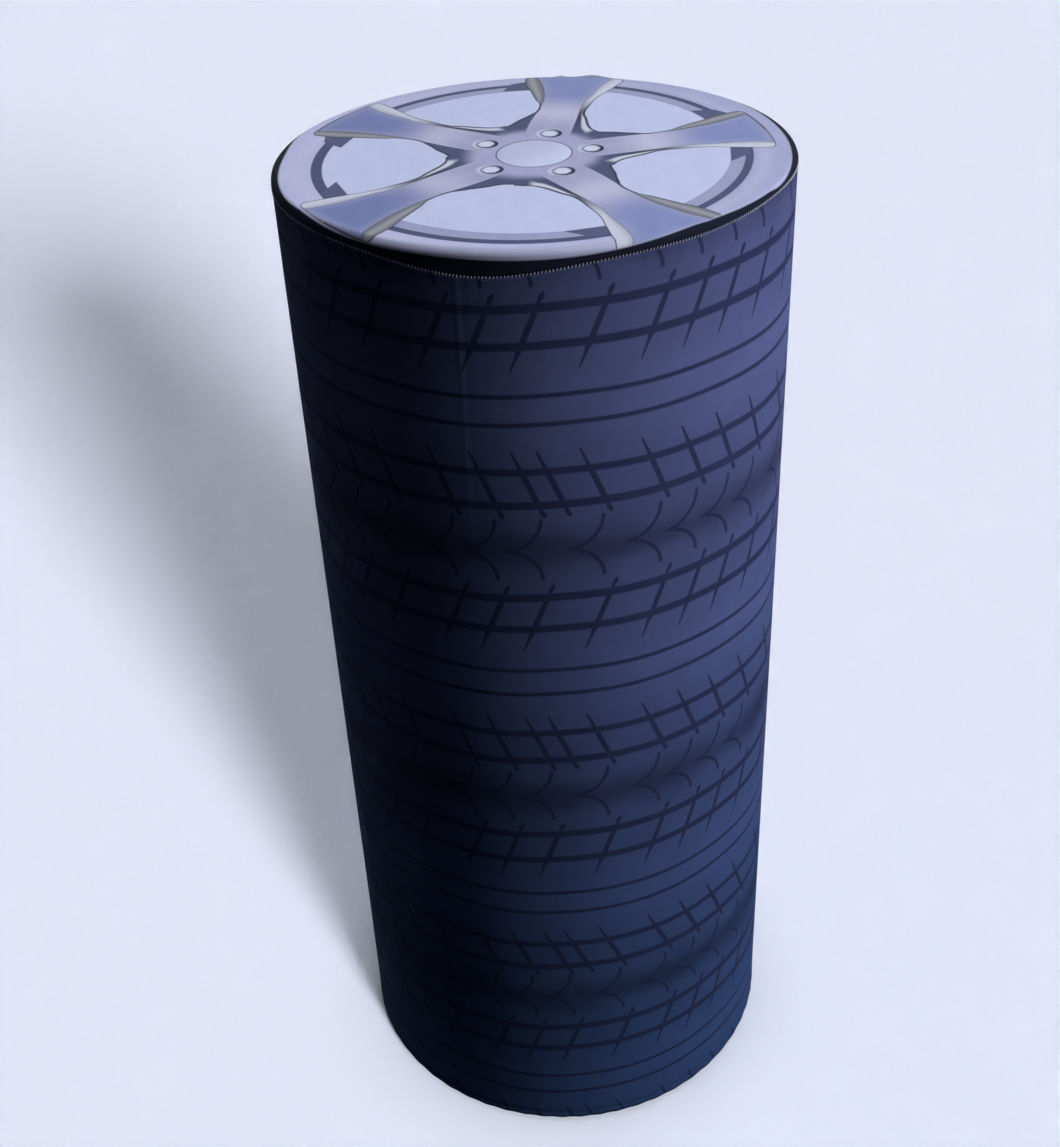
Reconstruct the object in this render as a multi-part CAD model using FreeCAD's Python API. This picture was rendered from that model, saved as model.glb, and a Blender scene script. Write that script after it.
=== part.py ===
"""Round display plinth in a printed stretch cover, in millimetres.

The cover is a sewn knit sleeve: a top disc, a side tube, a top seam, a back seam and an elastic hem that
tucks in under the base. The plinth inside it packs flat: two round boards, a rolled plastic wall closed with
hook-and-loop tape, four two-piece tube poles in screwed flanges, and four levelling feet let into the base.

+Z is up, the origin is on the floor under the centre of the plinth, -Y is the front and the back seam is at +Y.
Every node stands in its own function, and the table at the end names the files.
"""

import FreeCAD, Part
import math
import os

Vector = FreeCAD.Vector

# ---- Cover ------------------------------------------------------------------------------------------------
cover_diameter = 400.0  # outside of the fitted cover
cover_height = 900.0  # floor to the printed top face
fabric = 1.0  # thickness of the knit
ease = 1.0  # air between the fabric and the plinth
seam_drop = 9.0  # top face down to the top seam
allowance_width = 7.0  # seam allowance, turned down inside
allowance_thickness = 0.7
back_allowance_width = 9.0
thread_height = 1.6  # band that the overlock stitches cover
thread_proud = 0.5
back_thread_width = 1.0
hem_turn = 14.0  # floor to where the side tube becomes the turned hem
hem_reach = 18.0  # how far the hem runs in under the base, from the outside of the cover
hem_gap = 1.0  # height of the elastic's channel
elastic_width = 7.8
elastic_clearance = 0.1
hem_thread_width = 0.6

# ---- Boards and wall --------------------------------------------------------------------------------------
floor_gap = 6.0  # floor to the underside of the base board
board_thickness = 18.0
board_edge_radius = 4.0
board_rim = 10.0  # full-width part of each board's edge, beyond the step that the wall's edge sits in
wall_thickness = 2.5
wall_slit = 1.5  # gap where the rolled wall's two edges meet
fit_gap = 0.3  # clearance where one piece lifts off, or slips over, another

# ---- Closure of the rolled wall ---------------------------------------------------------------------------
strip_width = 70.0
strip_thickness = 2.0
tape_thickness = 0.8
tape_width = 28.0
closure_end_gap = 3.0  # from each board to the end of the closure

# ---- Poles and flanges ------------------------------------------------------------------------------------
pole_count = 4
pole_inset = 48.0  # outside of the plinth to the pole's axis
pole_diameter = 25.0
pole_wall = 1.5
joiner_length = 80.0
joiner_collar = 3.0
joiner_clearance = 0.05
flange_radius = 30.0
flange_plate = 4.0
socket_depth = 25.0
socket_wall = 3.2
flange_fillet = 2.5
edge_break = 0.8
screws_per_flange = 3
screw_head_radius = 3.8
screw_head_height = 2.2
screw_shank_radius = 1.8
screw_length = 15.0
screw_point = 3.0
recess_width = 0.9
recess_length = 4.2
recess_depth = 1.3
grub_radius = 2.5
grub_key_radius = 1.2
grub_key_depth = 1.4

# ---- Levelling feet ---------------------------------------------------------------------------------------
foot_count = 4
foot_inset = 48.0  # outside of the plinth to the foot's axis
pocket_radius = 23.0
pocket_depth = 6.0
sole_radius = 18.0
sole_thickness = 2.0
pad_flange = 2.2
pad_hub_radius = 7.5
snap_floor = 0.8  # plastic left under the head that the pad snaps on to
snap_head_radius = 4.4
snap_head_height = 2.0
snap_lip = 2.2  # plastic over the head
snap_clearance = 0.1
stem_radius = 3.0
stem_length = 37.0
thread_clearance = 0.05
collar_across_flats = 11.0
collar_height = 1.9
collar_gap = 0.1
insert_barrel_radius = 5.0
insert_flange_radius = 11.0
insert_flange_height = 1.5
drive_slot_width = 1.0
drive_slot_depth = 1.5

# ---- Heights and radii that follow ------------------------------------------------------------------------
cover_radius = cover_diameter / 2
stand_radius = cover_radius - fabric - ease
rabbet_height = board_thickness - board_rim
base_top = floor_gap + board_thickness
lid_top = cover_height - fabric - fit_gap
lid_bottom = lid_top - board_thickness
step_radius = stand_radius - wall_thickness - fit_gap
wall_inside = stand_radius - wall_thickness
wall_bottom = base_top - rabbet_height
wall_top = lid_bottom + rabbet_height - fit_gap
rim_radius = board_edge_radius + fabric
seam_height = cover_height - seam_drop
hem_layer = floor_gap - ease - fabric  # underside of the hem's turned-in end
pole_radius = pole_diameter / 2
pole_bottom = base_top + flange_plate
pole_top = lid_bottom - flange_plate
pole_middle = (pole_bottom + pole_top) / 2
pole_ring = stand_radius - pole_inset
foot_ring = stand_radius - foot_inset
socket_inside = pole_radius + fit_gap
socket_outside = socket_inside + socket_wall
screw_ring = (socket_outside + flange_radius) / 2 + edge_break
pocket_top = floor_gap + pocket_depth
snap_low = sole_thickness + snap_floor
snap_high = snap_low + snap_head_height + 2 * snap_clearance


# ---- Making shapes ----------------------------------------------------------------------------------------
def wire_of(corners):
    """Closed wire in the XZ plane through (r, z, corner radius) corners, each rounded by a tangent arc."""
    points = [Vector(r, 0, z) for r, z, _ in corners]
    edges = []
    start = last = None
    for i, (_, _, radius) in enumerate(corners):
        here, before, after = points[i], points[i - 1], points[(i + 1) % len(points)]
        if radius > 0:
            back = (before - here).normalize()
            ahead = (after - here).normalize()
            half = back.getAngle(ahead) / 2
            bisector = (back + ahead).normalize()
            enter = here + back * (radius / math.tan(half))
            leave = here + ahead * (radius / math.tan(half))
            middle = here + bisector * (radius / math.sin(half) - radius)
        else:
            enter = leave = here
        if last is not None and (enter - last).Length > 1e-6:
            edges.append(Part.LineSegment(last, enter).toShape())
        if radius > 0:
            edges.append(Part.Arc(enter, middle, leave).toShape())
        start = enter if start is None else start
        last = leave
    if (start - last).Length > 1e-6:
        edges.append(Part.LineSegment(last, start).toShape())
    return Part.Wire(edges)


def turned(corners):
    """Solid of revolution about Z from (r, z, corner radius) corners."""
    return Part.Face(wire_of(corners)).revolve(Vector(0, 0, 0), Vector(0, 0, 1), 360)


def ring(inside, outside, low, high):
    return turned([(inside, low, 0), (outside, low, 0), (outside, high, 0), (inside, high, 0)])


def rod(radius, low, high, x=0.0, y=0.0):
    return Part.makeCylinder(radius, high - low, Vector(x, y, low))


def bar(low, high):
    size = [b - a for a, b in zip(low, high)]
    return Part.makeBox(*size, Vector(*low))


def back_strip(inside, outside, left, right, low, high):
    """The piece of a ring at +Y that lies between x = left and x = right."""
    slab = bar((left, inside / 2, low), (right, outside + 1, high))
    return ring(inside, outside, low, high).common(slab)


def moved(shape, x=0.0, y=0.0, z=0.0):
    copy = shape.copy()
    copy.translate(Vector(x, y, z))
    return copy


def spun(shape, degrees):
    copy = shape.copy()
    copy.rotate(Vector(0, 0, 0), Vector(0, 0, 1), degrees)
    return copy


def upside_down(shape):
    copy = shape.copy()
    copy.rotate(Vector(0, 0, 0), Vector(1, 0, 0), 180)
    return copy


def stations(count, radius, first):
    """(degrees, x, y) of places evenly spaced on a circle."""
    for k in range(count):
        degrees = first + 360.0 * k / count
        angle = math.radians(degrees)
        yield degrees, radius * math.cos(angle), radius * math.sin(angle)


def pole_places():
    return list(stations(pole_count, pole_ring, 180.0 / pole_count))


def foot_places():
    return list(stations(foot_count, foot_ring, 0.0))


# ---- Cover ------------------------------------------------------------------------------------------------
def cover_top_panel():
    inner = cover_radius - fabric
    return turned([
        (0, cover_height, 0),
        (cover_radius, cover_height, rim_radius),
        (cover_radius, seam_height, 0),
        (inner, seam_height, 0),
        (inner, cover_height - fabric, rim_radius - fabric),
        (0, cover_height - fabric, 0),
    ])


def cover_side_panel():
    return ring(cover_radius - fabric, cover_radius, hem_turn, seam_height)


def cover_top_seam_allowance():
    outside = cover_radius - fabric
    return ring(outside - allowance_thickness, outside, seam_height - allowance_width, seam_height)


def cover_top_seam_thread():
    middle = seam_height
    return ring(cover_radius, cover_radius + thread_proud, middle - thread_height / 2, middle + thread_height / 2)


def cover_back_seam_allowance():
    outside = cover_radius - fabric
    half = back_allowance_width / 2
    high = seam_height - allowance_width
    return back_strip(outside - allowance_thickness, outside, -half, half, hem_turn, high)


def cover_back_seam_thread():
    half = back_thread_width / 2
    high = seam_height - thread_height / 2
    return back_strip(cover_radius, cover_radius + thread_proud / 2, -half, half, hem_turn, high)


def hem_channel():
    """(inner end, outer end, low, high) of the space that the elastic lies in."""
    fold = cover_radius - hem_reach + fabric
    return fold, fold + elastic_width + 2 * elastic_clearance, hem_layer - hem_gap, hem_layer


def cover_hem():
    fold, mouth, low, high = hem_channel()
    edge = fold - fabric
    inner = cover_radius - fabric
    outer_bend = board_edge_radius + ease + fabric
    mouth += hem_thread_width
    soft = fabric
    return turned([
        (cover_radius, hem_turn, 0),
        (cover_radius, low - fabric, outer_bend),
        (edge, low - fabric, soft),
        (edge, high + fabric, soft),
        (mouth, high + fabric, fabric / 4),
        (mouth, high, 0),
        (fold, high, 0),
        (fold, low, 0),
        (inner, low, outer_bend - fabric),
        (inner, hem_turn, 0),
    ])


def cover_hem_elastic():
    fold, mouth, low, high = hem_channel()
    gap = elastic_clearance
    return ring(fold + gap, mouth - gap, low + gap, high - gap)


def cover_hem_thread():
    _, mouth, low, high = hem_channel()
    return ring(mouth, mouth + hem_thread_width, low, high)


# ---- Fasteners --------------------------------------------------------------------------------------------
def countersunk_screw():
    """Countersunk wood screw pointing down, with its head's face at z = 0."""
    blank = turned([
        (0, 0, 0),
        (screw_head_radius, 0, 0),
        (screw_shank_radius, -screw_head_height, 0),
        (screw_shank_radius, screw_point - screw_length, 0),
        (0, -screw_length, 0),
    ])
    half_width, half_length = recess_width / 2, recess_length / 2
    across = bar((-half_length, -half_width, -recess_depth), (half_length, half_width, 1))
    return blank.cut(across.fuse(spun(across, 90)))


def screw_places(degrees, x, y):
    for _, dx, dy in stations(screws_per_flange, screw_ring, degrees):
        yield x + dx, y + dy


def base_screw_solids():
    screw = countersunk_screw()
    return [moved(screw, x, y, pole_bottom) for place in pole_places() for x, y in screw_places(*place)]


def lid_screw_solids():
    screw = upside_down(countersunk_screw())
    return [moved(screw, x, y, pole_top) for place in pole_places() for x, y in screw_places(*place)]


def screw_hole_tool():
    """What a screw takes out of a board or a plate: its outline with the cross recess filled."""
    return turned([
        (0, 0, 0),
        (screw_head_radius, 0, 0),
        (screw_shank_radius, -screw_head_height, 0),
        (screw_shank_radius, screw_point - screw_length, 0),
        (0, -screw_length, 0),
    ])


def screw_hole_tools(height, flip):
    tool = upside_down(screw_hole_tool()) if flip else screw_hole_tool()
    return [moved(tool, x, y, height) for place in pole_places() for x, y in screw_places(*place)]


def grub_screw(degrees, x, y):
    """Set screw through the socket's wall, on the side that faces the centre of the plinth."""
    inner, outer = pole_radius + joiner_clearance, socket_outside - edge_break
    body = Part.makeCylinder(grub_radius, outer - inner, Vector(inner, 0, 0), Vector(1, 0, 0))
    key = Part.makeCylinder(grub_key_radius, grub_key_depth, Vector(outer - grub_key_depth, 0, 0), Vector(1, 0, 0))
    return moved(spun(body.cut(key), degrees + 180), x, y, pole_bottom + socket_depth / 2)


def grub_hole(degrees, x, y):
    drill = Part.makeCylinder(grub_radius, socket_outside, Vector(pole_radius, 0, 0), Vector(1, 0, 0))
    return moved(spun(drill, degrees + 180), x, y, pole_bottom + socket_depth / 2)


# ---- Poles ------------------------------------------------------------------------------------------------
def flange(height):
    """Round flange with a tube socket standing on it, plate at the bottom."""
    plate_top = height + flange_plate
    top = plate_top + socket_depth
    return turned([
        (0, height, 0),
        (flange_radius, height, 0),
        (flange_radius, plate_top, edge_break),
        (socket_outside, plate_top, flange_fillet),
        (socket_outside, top, edge_break),
        (socket_inside, top, 0),
        (socket_inside, plate_top, 0),
        (0, plate_top, 0),
    ])


def base_flange(place):
    degrees, x, y = place
    body = moved(flange(base_top), x, y)
    tool = screw_hole_tool()
    for sx, sy in screw_places(*place):
        body = body.cut(moved(tool, sx, sy, pole_bottom))
    return body.cut(grub_hole(degrees, x, y))


def lid_flange(place):
    _, x, y = place
    body = moved(upside_down(flange(0)), x, y, lid_bottom)
    tool = upside_down(screw_hole_tool())
    for sx, sy in screw_places(*place):
        body = body.cut(moved(tool, sx, sy, pole_top))
    return body


def pole_tube(low, high, place):
    _, x, y = place
    return moved(ring(pole_radius - pole_wall, pole_radius, low, high), x, y)


def lower_pole(place):
    return pole_tube(pole_bottom, pole_middle - joiner_collar / 2, place)


def upper_pole(place):
    return pole_tube(pole_middle + joiner_collar / 2, pole_top, place)


def pole_joiner(place):
    """Plug that holds the two halves of a pole in line, with a collar that their ends meet."""
    _, x, y = place
    plug = pole_radius - pole_wall - joiner_clearance
    half, collar = joiner_length / 2, joiner_collar / 2
    return moved(turned([
        (0, -half, 0),
        (plug, -half, edge_break),
        (plug, -collar, 0),
        (pole_radius, -collar, 0),
        (pole_radius, collar, 0),
        (plug, collar, 0),
        (plug, half, edge_break),
        (0, half, 0),
    ]), x, y, pole_middle)


# ---- Boards and wall --------------------------------------------------------------------------------------
def base_board():
    board = turned([
        (0, floor_gap, 0),
        (stand_radius, floor_gap, board_edge_radius),
        (stand_radius, wall_bottom, 0),
        (step_radius, wall_bottom, 0),
        (step_radius, base_top, edge_break),
        (0, base_top, 0),
    ])
    for _, x, y in foot_places():
        board = board.cut(rod(pocket_radius, floor_gap, pocket_top, x, y))
        board = board.cut(rod(insert_barrel_radius, pocket_top, base_top, x, y))
    return board.cut(Part.Compound(screw_hole_tools(pole_bottom, flip=False)))


def lid_board():
    shoulder = lid_bottom + rabbet_height
    board = turned([
        (0, lid_bottom, 0),
        (step_radius, lid_bottom, edge_break),
        (step_radius, shoulder, 0),
        (stand_radius, shoulder, 0),
        (stand_radius, lid_top, board_edge_radius),
        (0, lid_top, 0),
    ])
    return board.cut(Part.Compound(screw_hole_tools(pole_top, flip=True)))


def rolled_wall():
    half = wall_slit / 2
    slit = bar((-half, 0, wall_bottom - 1), (half, stand_radius + 1, wall_top + 1))
    return ring(wall_inside, stand_radius, wall_bottom, wall_top).cut(slit)


def closure_layer(depth, thickness, left, right):
    """A layer inside the wall over its slit, depth being what already lies between it and the wall."""
    outside = wall_inside - depth
    low, high = base_top + closure_end_gap, lid_bottom - closure_end_gap
    return back_strip(outside - thickness, outside, left, right, low, high)


def closure_strip():
    return closure_layer(2 * tape_thickness, strip_thickness, -strip_width / 2, strip_width / 2)


def closure_bond_tape():
    right = -(strip_width / 2 - tape_width)
    return closure_layer(0, 2 * tape_thickness, right - tape_width, right)


def closure_loop_tape():
    left = strip_width / 2 - tape_width
    return closure_layer(0, tape_thickness, left, left + tape_width)


def closure_hook_tape():
    left = strip_width / 2 - tape_width
    return closure_layer(tape_thickness, tape_thickness, left, left + tape_width)


# ---- Levelling feet ---------------------------------------------------------------------------------------
def foot_insert(place):
    """Flanged threaded insert pressed into the base board from above."""
    _, x, y = place
    bore = stem_radius + thread_clearance
    return moved(turned([
        (bore, pocket_top, 0),
        (insert_barrel_radius, pocket_top, 0),
        (insert_barrel_radius, base_top, 0),
        (insert_flange_radius, base_top, 0),
        (insert_flange_radius, base_top + insert_flange_height, insert_flange_height / 2),
        (bore, base_top + insert_flange_height, 0),
    ]), x, y)


def foot_sole(place):
    _, x, y = place
    soft = sole_thickness / 3
    return moved(turned([
        (0, 0, 0),
        (sole_radius, 0, soft),
        (sole_radius, sole_thickness, 0),
        (0, sole_thickness, 0),
    ]), x, y)


def foot_pad(place):
    """Nylon pad, hollowed to snap on to the stem's round head, which turns in it."""
    _, x, y = place
    low, hub_top = sole_thickness, snap_high + snap_lip
    room = snap_head_radius + snap_clearance
    neck = stem_radius + thread_clearance
    return moved(turned([
        (0, low, 0),
        (sole_radius, low, 0),
        (sole_radius, low + pad_flange, edge_break),
        (pad_hub_radius, low + pad_flange, edge_break),
        (pad_hub_radius, hub_top, edge_break),
        (neck, hub_top, 0),
        (neck, snap_high, 0),
        (room, snap_high, 0),
        (room, snap_low, 0),
        (0, snap_low, 0),
    ]), x, y)


def foot_stem(place):
    """Threaded stem: round head, hexagon collar that stops against the insert, and a driver slot on top."""
    _, x, y = place
    head_low = snap_low + snap_clearance
    head_high = head_low + snap_head_height
    top = head_low + stem_length
    shank = turned([
        (0, head_low, 0),
        (snap_head_radius, head_low, edge_break),
        (snap_head_radius, head_high, 0),
        (stem_radius, head_high, 0),
        (stem_radius, top, edge_break),
        (0, top, 0),
    ])
    corner = collar_across_flats / 2 / math.cos(math.pi / 6)
    turns = [math.radians(60 * k) for k in range(7)]
    outline = Part.makePolygon([Vector(corner * math.cos(a), corner * math.sin(a), 0) for a in turns])
    collar = Part.Face(Part.Wire(outline)).extrude(Vector(0, 0, collar_height))
    collar.translate(Vector(0, 0, pocket_top - collar_gap - collar_height))
    half = drive_slot_width / 2
    slot = bar((-stem_radius - 1, -half, top - drive_slot_depth), (stem_radius + 1, half, top + 1))
    return moved(shank.fuse(collar).cut(slot).removeSplitter(), x, y)


# ---- Files ------------------------------------------------------------------------------------------------
def nodes():
    """Node name to shape, in assembly order."""
    made = {
        "cover_top_panel": cover_top_panel(),
        "cover_side_panel": cover_side_panel(),
        "cover_hem": cover_hem(),
        "cover_hem_elastic": cover_hem_elastic(),
        "cover_hem_thread": cover_hem_thread(),
        "cover_top_seam_allowance": cover_top_seam_allowance(),
        "cover_top_seam_thread": cover_top_seam_thread(),
        "cover_back_seam_allowance": cover_back_seam_allowance(),
        "cover_back_seam_thread": cover_back_seam_thread(),
        "lid_board": lid_board(),
        "lid_flange_screws": Part.Compound(lid_screw_solids()),
        "base_board": base_board(),
        "base_flange_screws": Part.Compound(base_screw_solids()),
        "pole_grub_screws": Part.Compound([grub_screw(*place) for place in pole_places()]),
        "rolled_wall": rolled_wall(),
        "closure_strip": closure_strip(),
        "closure_bond_tape": closure_bond_tape(),
        "closure_loop_tape": closure_loop_tape(),
        "closure_hook_tape": closure_hook_tape(),
    }
    for k, place in enumerate(pole_places(), 1):
        made[f"lid_flange_{k}"] = lid_flange(place)
        made[f"base_flange_{k}"] = base_flange(place)
        made[f"lower_pole_{k}"] = lower_pole(place)
        made[f"upper_pole_{k}"] = upper_pole(place)
        made[f"pole_joiner_{k}"] = pole_joiner(place)
    for k, place in enumerate(foot_places(), 1):
        made[f"foot_insert_{k}"] = foot_insert(place)
        made[f"foot_sole_{k}"] = foot_sole(place)
        made[f"foot_pad_{k}"] = foot_pad(place)
        made[f"foot_stem_{k}"] = foot_stem(place)
    return made


os.makedirs("parts", exist_ok=True)
for name, shape in nodes().items():
    if not shape.isValid() or any(solid.Volume <= 0 for solid in shape.Solids):
        raise ValueError(f"{name} is not a valid solid")
    shape.exportStep(f"parts/{name}.step")
    print(f"{name:28s} solids {len(shape.Solids):3d}  volume {sum(s.Volume for s in shape.Solids):12.1f} mm3")
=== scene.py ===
import math

import bpy
import numpy as np
from mathutils import Matrix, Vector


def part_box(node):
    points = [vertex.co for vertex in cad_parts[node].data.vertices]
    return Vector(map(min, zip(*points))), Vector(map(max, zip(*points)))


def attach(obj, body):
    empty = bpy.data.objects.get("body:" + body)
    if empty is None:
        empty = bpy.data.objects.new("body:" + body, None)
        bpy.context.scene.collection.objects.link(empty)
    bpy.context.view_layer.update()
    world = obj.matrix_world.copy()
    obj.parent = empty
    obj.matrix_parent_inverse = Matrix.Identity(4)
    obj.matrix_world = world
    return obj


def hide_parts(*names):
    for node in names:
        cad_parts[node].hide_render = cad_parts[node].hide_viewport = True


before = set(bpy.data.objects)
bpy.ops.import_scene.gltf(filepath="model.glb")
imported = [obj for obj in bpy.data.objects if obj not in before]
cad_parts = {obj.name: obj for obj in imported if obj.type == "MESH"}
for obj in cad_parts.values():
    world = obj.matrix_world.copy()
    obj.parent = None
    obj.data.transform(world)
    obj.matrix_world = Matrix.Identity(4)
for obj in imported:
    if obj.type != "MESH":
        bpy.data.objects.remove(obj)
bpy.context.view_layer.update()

bl_info = {
    "name": "Covered Display Plinth",
    "version": (1, 0, 0),
    "blender": (4, 5, 0),
    "location": "View3D > Sidebar > Plinth",
    "description": "Dresses the plinth's frame: printed stretch cover, stitching, boards, poles and feet",
    "category": "Object",
}

MM = 0.001


def rim_of(node):
    """Smallest and largest distance of a CAD node's points from the Z axis, in metres."""
    points = np.array([v.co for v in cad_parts[node].data.vertices])
    distance = np.hypot(points[:, 0], points[:, 1])
    return float(distance.min()), float(distance.max())


COVER_RADIUS = round(rim_of("cover_side_panel")[1], 4)
COVER_TOP = round(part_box("cover_top_panel")[1].z, 4)
SEAM_HEIGHT = round(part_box("cover_side_panel")[1].z, 4)
HEM_LOW = round(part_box("cover_hem")[0].z, 4)
HEM_REACH = round(rim_of("cover_hem")[0], 4)
# Thickness of the knit and of a seam allowance, and how deep an allowance lies behind the printed face.
FABRIC = 1.0 * MM
ALLOWANCE = 0.6 * MM
UNDER_CLOTH = FABRIC + 0.05 * MM
# Radii of the bends at the rim, at the base and in the hem's fold, and the length of the hem's flap.
RIM_BEND = 5.0 * MM
BASE_BEND = 6.0 * MM
HEM_FOLD = 1.5 * MM
HEM_FLAP = 9.4 * MM


# ---- Settings ------------------------------------------------------------------------------------
def length(label, default, about):
    return bpy.props.FloatProperty(
        name=label, description=about, default=default, subtype="DISTANCE", unit="LENGTH"
    )


def number(label, default, about):
    return bpy.props.FloatProperty(name=label, description=about, default=default)


def colour(label, default, about):
    return bpy.props.FloatVectorProperty(
        name=label, description=about, default=default, subtype="COLOR", size=3, min=0.0, max=1.0
    )


class ClothSettings(bpy.types.PropertyGroup):
    """How the fitted cover lies on the plinth."""

    seam_rise: length("Seam rise", 5.0 * MM, "How far the top seam rides up to the rim at the front right")
    seam_drop: length("Seam drop", 10.5 * MM, "How far the top seam is pulled down at the front")
    seam_sink: length("Seam depth", 0.75 * MM, "How deep the cloth dips into a seam")
    slack: length("Slack", 0.30 * MM, "Height of the long soft waves in the cloth")
    crease: length("Packing crease", 0.30 * MM, "Height of the fold left by packing")
    rim_bump: length("Rim gathers", 2.0 * MM, "Height of the two gathers on the back of the rim")
    hem_gather: length("Hem gathers", 0.5 * MM, "Height of the gathers round the elastic")
    hem_line: length("Hem line", 0.7 * MM, "Relief of the line pulled into the cloth above the base")
    knit_pitch: length("Knit pitch", 0.7 * MM, "Width of one column of the knit")


class StitchSettings(bpy.types.PropertyGroup):
    """Thread and spacing of the visible stitches."""

    pitch: length("Seam pitch", 2.5 * MM, "Distance between two stitches of the top seam")
    span: length("Seam span", 1.7 * MM, "Length of a stitch across the top seam")
    thread: length("Thread", 0.24 * MM, "Radius of the sewing thread")
    back_pitch: length("Back pitch", 3.0 * MM, "Distance between two stitches of the back seam")


class TyrePrintSettings(bpy.types.PropertyGroup):
    """The stack of tyres printed on the side panel."""

    tyre_height: length("Tyre", 242.5 * MM, "Height of one tyre in the stack")
    first_join: length("First join", 907.0 * MM, "Height of the join above the highest full tyre")
    # Tread is the print's rubber colour. The shaded low tread is that colour with painted shade: darker and
    # bluer, for the lower side where less light falls.
    tread: colour("Tread", (0.082, 0.098, 0.235), "Rubber between the grooves, high on the side")
    shaded_low_tread: colour("Low tread", (0.036, 0.070, 0.190), "Rubber between the grooves, low on the side")
    groove: colour("Groove", (0.019, 0.024, 0.070), "Grooves and slots")


class WheelPrintSettings(bpy.types.PropertyGroup):
    """The wheel printed on the top panel."""

    hub_x: length("Hub X", 0.6 * MM, "Hub centre, to the right of the plinth's axis")
    hub_y: length("Hub Y", -6.3 * MM, "Hub centre, behind the plinth's axis")
    pull: number("Pull", 1.08, "How much longer the print is pulled from front to back than across")
    blue: colour("Spoke blue", (0.235, 0.285, 0.560), "Outer part of a spoke's face")
    lilac: colour("Hub lilac", (0.400, 0.410, 0.640), "Hub and inner part of a spoke")
    window: colour("Window", (0.555, 0.610, 0.880), "Openings between the spokes")
    ring: colour("Rim", (0.500, 0.520, 0.790), "Rim ring on its light side")
    slate: colour("Slate", (0.080, 0.100, 0.200), "Groove and shadow pieces")


class StageSettings(bpy.types.PropertyGroup):
    """Camera, light and floor."""

    camera_y: length("Camera Y", -1.1552, "Camera place in front of the plinth")
    camera_z: length("Camera Z", 1.2805, "Camera height above the floor")
    tilt: number("Tilt", 33.617, "Degrees that the camera looks down")
    roll: number("Roll", -2.775, "Degrees that the camera leans")
    yaw: number("Yaw", -0.9005, "Degrees that the camera turns to the right")
    lens: number("Lens", 48.16, "Focal length in millimetres on a 36 mm frame")
    floor: colour("Floor", (0.77, 0.83, 0.97), "Pale floor")


SETTINGS = (ClothSettings, StitchSettings, TyrePrintSettings, WheelPrintSettings, StageSettings)


def settings(name):
    return getattr(bpy.context.scene, "plinth_" + name)


# ---- Shader arithmetic ---------------------------------------------------------------------------
def by_math(operation):
    """Method of a Term that adds one Math node of this operation."""
    return lambda term, other: term.math(operation, other)


class Term:
    """A value in a shader tree. Arithmetic on it adds Math nodes, so a pattern reads as a formula."""

    __add__ = __radd__ = by_math("ADD")
    __sub__ = by_math("SUBTRACT")
    __mul__ = __rmul__ = by_math("MULTIPLY")
    __truediv__ = by_math("DIVIDE")
    __mod__ = by_math("FLOORED_MODULO")
    least = by_math("MINIMUM")
    most = by_math("MAXIMUM")

    def __init__(self, tree, socket):
        self.tree = tree
        self.socket = socket

    def math(self, operation, *others):
        node = self.tree.nodes.new("ShaderNodeMath")
        node.operation = operation
        for place, value in zip(node.inputs, (self, *others)):
            feed(self.tree, place, value)
        return Term(self.tree, node.outputs[0])

    def __rsub__(self, other):
        return (self * -1.0) + other

    def __abs__(self):
        return self.math("ABSOLUTE")

    def above(self, edge, soft):
        """0 below the edge and 1 above it, with a smooth step that is soft wide each way."""
        node = self.tree.nodes.new("ShaderNodeMapRange")
        node.interpolation_type = "SMOOTHSTEP"
        feed(self.tree, node.inputs["Value"], self)
        node.inputs["From Min"].default_value = edge - soft
        node.inputs["From Max"].default_value = edge + soft
        return Term(self.tree, node.outputs["Result"])

    def below(self, edge, soft):
        return 1.0 - self.above(edge, soft)

    def bell(self, width):
        """1 at zero, falling smoothly to nothing at about twice the width."""
        return ((self / width).math("POWER", 2.0) * -1.0).math("EXPONENT")


def feed(tree, socket, value):
    if isinstance(value, Term):
        tree.links.new(value.socket, socket)
    elif isinstance(value, bpy.types.NodeSocket):
        tree.links.new(value, socket)
    else:
        socket.default_value = value


def hypotenuse(a, b):
    return (a * a + b * b).math("SQRT")


def curve(term, points):
    """Smooth curve through (x, y) points as a Float Curve node, flat beyond its ends."""
    xs, ys = zip(*points)
    low, high = min(ys), max(ys)
    node = term.tree.nodes.new("ShaderNodeFloatCurve")
    line = node.mapping.curves[0]
    for _ in points[2:]:
        line.points.new(0.5, 0.5)
    spots = sorted(((x - xs[0]) / (xs[-1] - xs[0]), (y - low) / (high - low)) for x, y in points)
    for dot, spot in zip(line.points, spots):
        dot.location = spot
        dot.handle_type = "AUTO_CLAMPED"
    node.mapping.update()
    feed(term.tree, node.inputs["Value"], ((term - xs[0]) / (xs[-1] - xs[0])).most(0.0).least(1.0))
    return Term(term.tree, node.outputs[0]) * (high - low) + low


def lookup(term, stops):
    """Step function of a 0 to 1 term: from each stop's place on, its three values, as three Terms."""
    node = term.tree.nodes.new("ShaderNodeValToRGB")
    node.color_ramp.interpolation = "CONSTANT"
    ramp = node.color_ramp.elements
    for _ in stops[2:]:
        ramp.new(0.5)
    for element, (place, _) in zip(list(ramp), stops):
        element.position = place
    for element, (_, values) in zip(sorted(ramp, key=lambda e: e.position), stops):
        element.color = (*values, 1.0)
    feed(term.tree, node.inputs["Fac"], term)
    split = term.tree.nodes.new("ShaderNodeSeparateColor")
    term.tree.links.new(node.outputs["Color"], split.inputs[0])
    return [Term(term.tree, out) for out in split.outputs]


# Sockets of a Mix node that is set to colour.
FACTOR, UNDER, OVER, MIXED = 0, 6, 7, 2


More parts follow.
